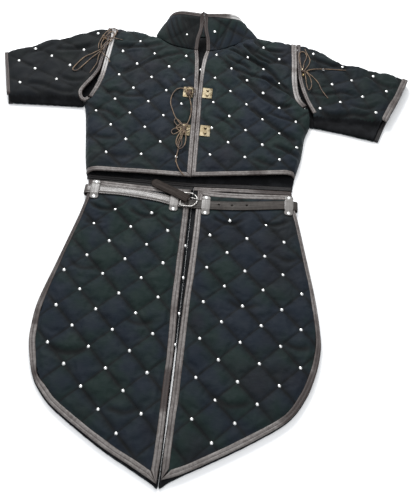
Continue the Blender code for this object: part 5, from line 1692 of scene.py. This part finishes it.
def makeStrap(name, path, width, thick, material, across, nodes=(), tip=0.0, seed=0.0):
    # a strap with rounded edges and a pressed line near each edge
    section = [(-0.5, -0.5), (-0.46, -0.5), (0.46, -0.5), (0.5, -0.5), (0.515, 0.0), (0.5, 0.42), (0.47, 0.5),
               (0.42, 0.5), (0.395, 0.30), (0.37, 0.5), (0.2, 0.56), (0.0, 0.58), (-0.2, 0.56), (-0.37, 0.5),
               (-0.395, 0.30), (-0.42, 0.5), (-0.47, 0.5), (-0.5, 0.42), (-0.515, 0.0), (-0.5, -0.5)]
    path = np.asarray(path, float)
    along = directionOf(path)
    across = np.broadcast_to(np.array(across, float), path.shape)
    sideways = across - along * (across * along).sum(1)[:, None]
    sideways /= np.linalg.norm(sideways, axis=1)[:, None]
    up = np.cross(along, sideways)
    run = runOf(path)
    wide = np.full(len(path), float(width))
    if tip:
        wide = wide * (0.30 + 0.70 * quarterRound((run[-1] - run) / tip))
    if up[len(up) // 2, 2] < 0:
        up = -up
    obj = sweepStrip(name, path, section, wide, thick, sideways, up, seed)
    finishPiece(obj, material, *nodes)
    return obj


def cutHole(obj, place, radius, depth, corners):
    deselectAll()
    bpy.ops.mesh.primitive_cylinder_add(vertices=corners, radius=radius, depth=depth, location=tuple(place))
    punch = bpy.context.object
    applyModifier(obj, "BOOLEAN", object=punch, operation="DIFFERENCE", solver="EXACT")
    bpy.data.objects.remove(punch, do_unlink=True)


def withHeight(row, z):
    return np.hstack([row, np.full((len(row), 1), z)])


def makeBelt():
    level = beltBase + beltSet["thick"] / 2
    right = withHeight(smoothRow(beltSet["runRight"], 6), level)
    left = withHeight(smoothRow(beltSet["runLeft"], 6), level)
    turnRight = smoothRow(beltSet["turnRight"][::-1], 2.5)
    turnLeft = smoothRow(beltSet["turnLeft"], 2.5)
    sway = lambda path, seed: path + np.stack([path[:, 0] * 0, path[:, 0] * 0,
                                               (softNoise(path[:, :2], 46.0, seed) - 0.5) * 0.5], 1)
    leather = materials["belt"]
    width, thick = beltSet["width"], beltSet["thick"]
    makeStrap("belt_right_strap", np.vstack([turnRight, sway(right, 2)]), width, thick, leather, (0, 1, 0),
              ("belt_right",))
    # the wearer's-left run takes the darker copy of the belt leather, painted shade
    strap = makeStrap("belt_left_strap", np.vstack([sway(left, 5), turnLeft]), width, thick,
                      materials["beltShadedCopy"], (0, 1, 0), ("belt_left",), seed=0.4)
    for x, y in beltSet["holes"]:
        cutHole(strap, toWorld((x, y, level)), 0.0021, 0.02, 20)
    makeStrap("belt_rear_strap", np.array([turnRight[0] + (0.6, 0, 0), turnLeft[-1] - (0.6, 0, 0)]), width,
              thick, leather, (0, 1, 0), ("belt_rear",))
    # the belt's end takes the darker copy of the belt leather, painted shade
    makeStrap("belt_tail_strap", smoothRow(beltSet["tail"], 4), 23, thick, materials["tail"], (0.42, 0.9, 0),
              ("belt_tail",), tip=13.0, seed=0.9)


def makeKeeper(label, x, y, length):
    thick = beltSet["keeperThick"]
    foot = beltBase + thick / 2
    over = beltBase + beltSet["thick"] + 0.5 + thick / 2
    near = beltSet["width"] / 2 + 1.6
    far = near + 5.0
    half = length / 2
    rows = [(x, y - half, foot - 0.4), (x, y - far - 2, foot), (x, y - far, foot + 0.2),
            (x, y - near, over - 0.3), (x, y - near + 4, over), (x, y, over + 0.2), (x, y + near - 4, over),
            (x, y + near, over - 0.3), (x, y + far, foot + 0.2), (x, y + far + 2, foot),
            (x, y + half, foot - 0.4)]
    path = smoothRow(rows, 1.6)
    section = [(-0.5, -0.5), (0.5, -0.5), (0.51, 0.0), (0.48, 0.45), (0.4, 0.5), (0.0, 0.56), (-0.4, 0.5),
               (-0.48, 0.45), (-0.51, 0.0), (-0.5, -0.5)]
    sideways = np.array([1.0, 0, 0])
    run = runOf(path)
    fromEnd = np.minimum(run, run[-1] - run)
    wide = beltSet["keeperWidth"] * (0.42 + 0.58 * quarterRound(fromEnd / 8.0))
    wide = wide * (1 - 0.1 * np.exp(-((fromEnd - 13.5) / 4.0) ** 2))
    up = np.cross(sideways, directionOf(path))
    obj = sweepStrip("keeper_" + label, path, section, wide, thick, sideways, up, x)
    finishPiece(obj, materials["keeper"], "belt_tab_" + label)
    for end, sign in (("top", 1), ("bottom", -1)):
        name = "rivet_" + label + "_" + end
        place = (x, y + sign * (half - beltSet["rivetInset"] - 0.6), foot + thick / 2)
        setDome(name + "_cap", beltSet["rivet"], place, materials["nickel"], name)


def makeDome(name, radius, height, segments):
    # a domed cap with a thin flange, spun from its half profile
    profile = [(radius, -0.3), (radius, 0.15), (radius * 0.93, 0.34), (radius * 0.8, height * 0.42),
               (radius * 0.6, height * 0.74), (radius * 0.35, height * 0.94), (0.02, height)]
    angles = np.linspace(0, 2 * math.pi, segments + 1)
    places = np.zeros((segments + 1, len(profile), 3))
    for k, (r, z) in enumerate(profile):
        places[:, k] = np.stack([np.cos(angles) * r, np.sin(angles) * r, np.full(len(angles), z)], 1)
    return wrapGrid(name, places)


def setDome(name, look, place, material, *nodes):
    obj = makeDome(name, look["radius"], look["height"], look["segments"])
    setCo(obj.data, getCo(obj.data) + place)
    finishPiece(obj, material, *nodes)


def makeBuckle():
    height = beltBase + beltSet["thick"] + 0.3 + 2.0
    barX, curveX, midY, half = -20.0, 2.0, -66.0, 20.0
    path = [(barX, midY + t, height) for t in np.linspace(-half + 2, half - 2, 8)]
    path.append((barX + 0.6, midY + half - 0.6, height))
    path.append((barX + 2, midY + half, height))
    for angle in np.linspace(math.pi / 2, -math.pi / 2, 26):
        path.append((curveX + half * math.cos(angle), midY + half * math.sin(angle), height))
    path.append((barX + 2, midY - half, height))
    path.append((barX + 0.6, midY - half + 0.6, height))
    makeTube("buckle_frame_wire", path, 4.0, materials["steel"], ["buckle_frame"], cyclic=True)
    top = height + 2.0 + 0.3 + 1.3
    prong = np.array([(curveX + 3, midY + 4, top), (curveX + half * 0.6, midY + 2.4, top + 0.3),
                      (curveX + half + 1, midY + 1, top), (curveX + half + 3.4, midY + 0.7, top - 0.9)])
    makeTube("buckle_prong_wire", smoothRow(prong, 1.5), 2.6, materials["steel"], ["buckle_prong"])


def makePlate(label, edge, y, sign):
    x = edge + sign * plateSet["width"] / 2
    z = jacketTop + 1.0 + 0.3 + plateSet["thick"] / 2
    deselectAll()
    bpy.ops.mesh.primitive_cube_add(size=1)
    obj = bpy.context.object
    obj.name = "plate_" + label + "_brass"
    setCo(obj.data, getCo(obj.data) * (plateSet["width"], plateSet["height"], plateSet["thick"]) + (x, y, z))
    # a turned-down outer edge and cut corners
    editAll(obj, bpy.ops.mesh.bevel, offset=plateSet["bevel"], segments=3, affect="EDGES")
    for end, s in (("_top", 1), ("_low", -1)):
        place = (x, y + s * plateSet["spacing"] / 2, z)
        cutHole(obj, place, plateSet["bore"] + 0.4, 9, 32)
        finishPiece(makeEyelet("eyelet_" + label + end, place), materials["eyelet"])
    finishPiece(obj, materials["brass"], "plate_" + label, smooth=False)


def makeEyelet(name, place):
    # a rolled ring
    deselectAll()
    bpy.ops.mesh.primitive_torus_add(major_segments=36, minor_segments=12, major_radius=plateSet["ring"],
                                     minor_radius=plateSet["ringWire"])
    ring = bpy.context.object
    ring.name = name
    setCo(ring.data, getCo(ring.data) * (1, 1, 0.9) + (place[0], place[1], place[2] + 0.5))
    return ring


makeBelt()
for keeperRow in beltSet["keepers"]:
    makeKeeper(*keeperRow)
makeBuckle()
for plateRow in plateSet["places"]:
    makePlate(*plateRow)
print("belt and metal ready")


# Studs at the corners of the quilting

studLook = {"radius": 4.6, "height": 2.5, "segments": 14}
sleeveStuds = {
    "sleeveRight": [(-487, 396), (-437, 377), (-524, 346), (-379, 348), (-472, 320), (-406, 289), (-503, 264),
                    (-320, 481), (-350, 411)],
    "sleeveLeft": [(316, 482), (345, 424), (427, 392), (490, 415), (370, 369), (456, 332), (525, 359),
                   (392, 303),
                   (335, 273), (491, 276), (402, 444)],
}


def latticePoints(quilt, loop):
    origin, along, across = quiltFrame(quilt)
    local = quiltUv(loop, quilt)
    low, high = np.floor(local.min(0)), np.ceil(local.max(0))
    grid = [(i, j) for i in np.arange(low[0], high[0] + 1) for j in np.arange(low[1], high[1] + 1)]
    grid = np.array(grid)
    return origin + grid[:, :1] * along * layout["square"] + grid[:, 1:] * across * layout["square"]


def setStuds(label, spots):
    model = makeDome("stud_model", studLook["radius"], studLook["height"], studLook["segments"])
    base = getCo(model.data)
    copies = []
    for spot in spots:
        copy = model.copy()
        copy.data = model.data.copy()
        bpy.context.scene.collection.objects.link(copy)
        setCo(copy.data, base + spot)
        copies.append(copy)
    bpy.data.objects.remove(model, do_unlink=True)
    deselectAll()
    for copy in copies:
        copy.select_set(True)
    bpy.context.view_layer.objects.active = copies[0]
    bpy.ops.object.join()
    studs = bpy.context.object
    studs.name = "studs_" + label
    finishPiece(studs, materials["nickel"])


def panelStuds():
    bounds = {
        "frontRight": ([(hemRight, 12), (armholeRight, 12), (frontEdgeRight, 12)],
                       [(sideRight, 18), (shoulderRight, 8), (neckRight, 6)]),
        "frontLeft": ([(hemLeft, 12), (armholeLeft, 18), (frontEdgeLeft, 12)],
                      [(sideLeft, 8), (shoulderLeft, 8), (neckLeft, 6)]),
        "sleeveRight": ([(headRight, 12), (cuffRight, 12)], [(sleeveTopRight, 8), (lowRight, 8)]),
        "sleeveLeft": ([(headLeft, 12), (cuffLeft, 12)], [(sleeveTopLeft, 8), (lowLeft, 8)]),
        "skirtRight": ([(waistRight, 15), (skirtSideRight, 15), (splitRight, 15)], []),
        "skirtLeft": ([(waistLeft, 15), (skirtSideLeft, 15), (splitLeft, 15)], []),
    }
    for quilt, (bound, open_) in bounds.items():
        pad = pads[quilt]
        p = latticePoints(quilt, pad.loop)
        keep = insideLoop(p, pad.loop) & (pad.free(p) > 0.3)
        for rows, width in bound:
            keep &= distanceTo(p, smoothRow(rows, 8.0)) > width + 5.0
        for rows, width in open_:
            keep &= distanceTo(p, smoothRow(rows, 8.0)) > width
        p = np.array(sleeveStuds[quilt], float) if quilt in sleeveStuds else p[keep]
        z = pad.outer(p) + 0.25
        setStuds(quilt, np.hstack([p, z[:, None]]))
        print("studs", quilt, len(p))


panelStuds()
setStuds("back", [(4, -194, 6.6), (8.4, -283, 6.6), (8.4, -377, 6.6), (7.5, -454, 6.6), (-10, 401, 6.6)])
collarSpots = []
for studU, studV, studLift in ((1.10, 0.38, 0.0), (17.2, 0.50, 3.6)):
    studOut = np.array([collarLook["wall"] / 2 + studLift])
    collarSpots.append(collarAt(np.array([studU]), np.array([studV]), studOut)[0])
setStuds("collar", collarSpots)

# brass caps beside the wearer's-left shoulder knot
laceCaps = {"top": (283.4, 411.5), "low": (286.8, 391.0)}
capLook = {"radius": 4.0, "height": 4.0, "segments": 16, "lift": 4.4}
for capName, capPlace in laceCaps.items():
    capBase = pads["sleeveLeft"].seam(np.array([capPlace]))[0] + capLook["lift"]
    setDome("lace_cap_" + capName, capLook, (*capPlace, capBase), materials["capBrass"])
print("studs set")
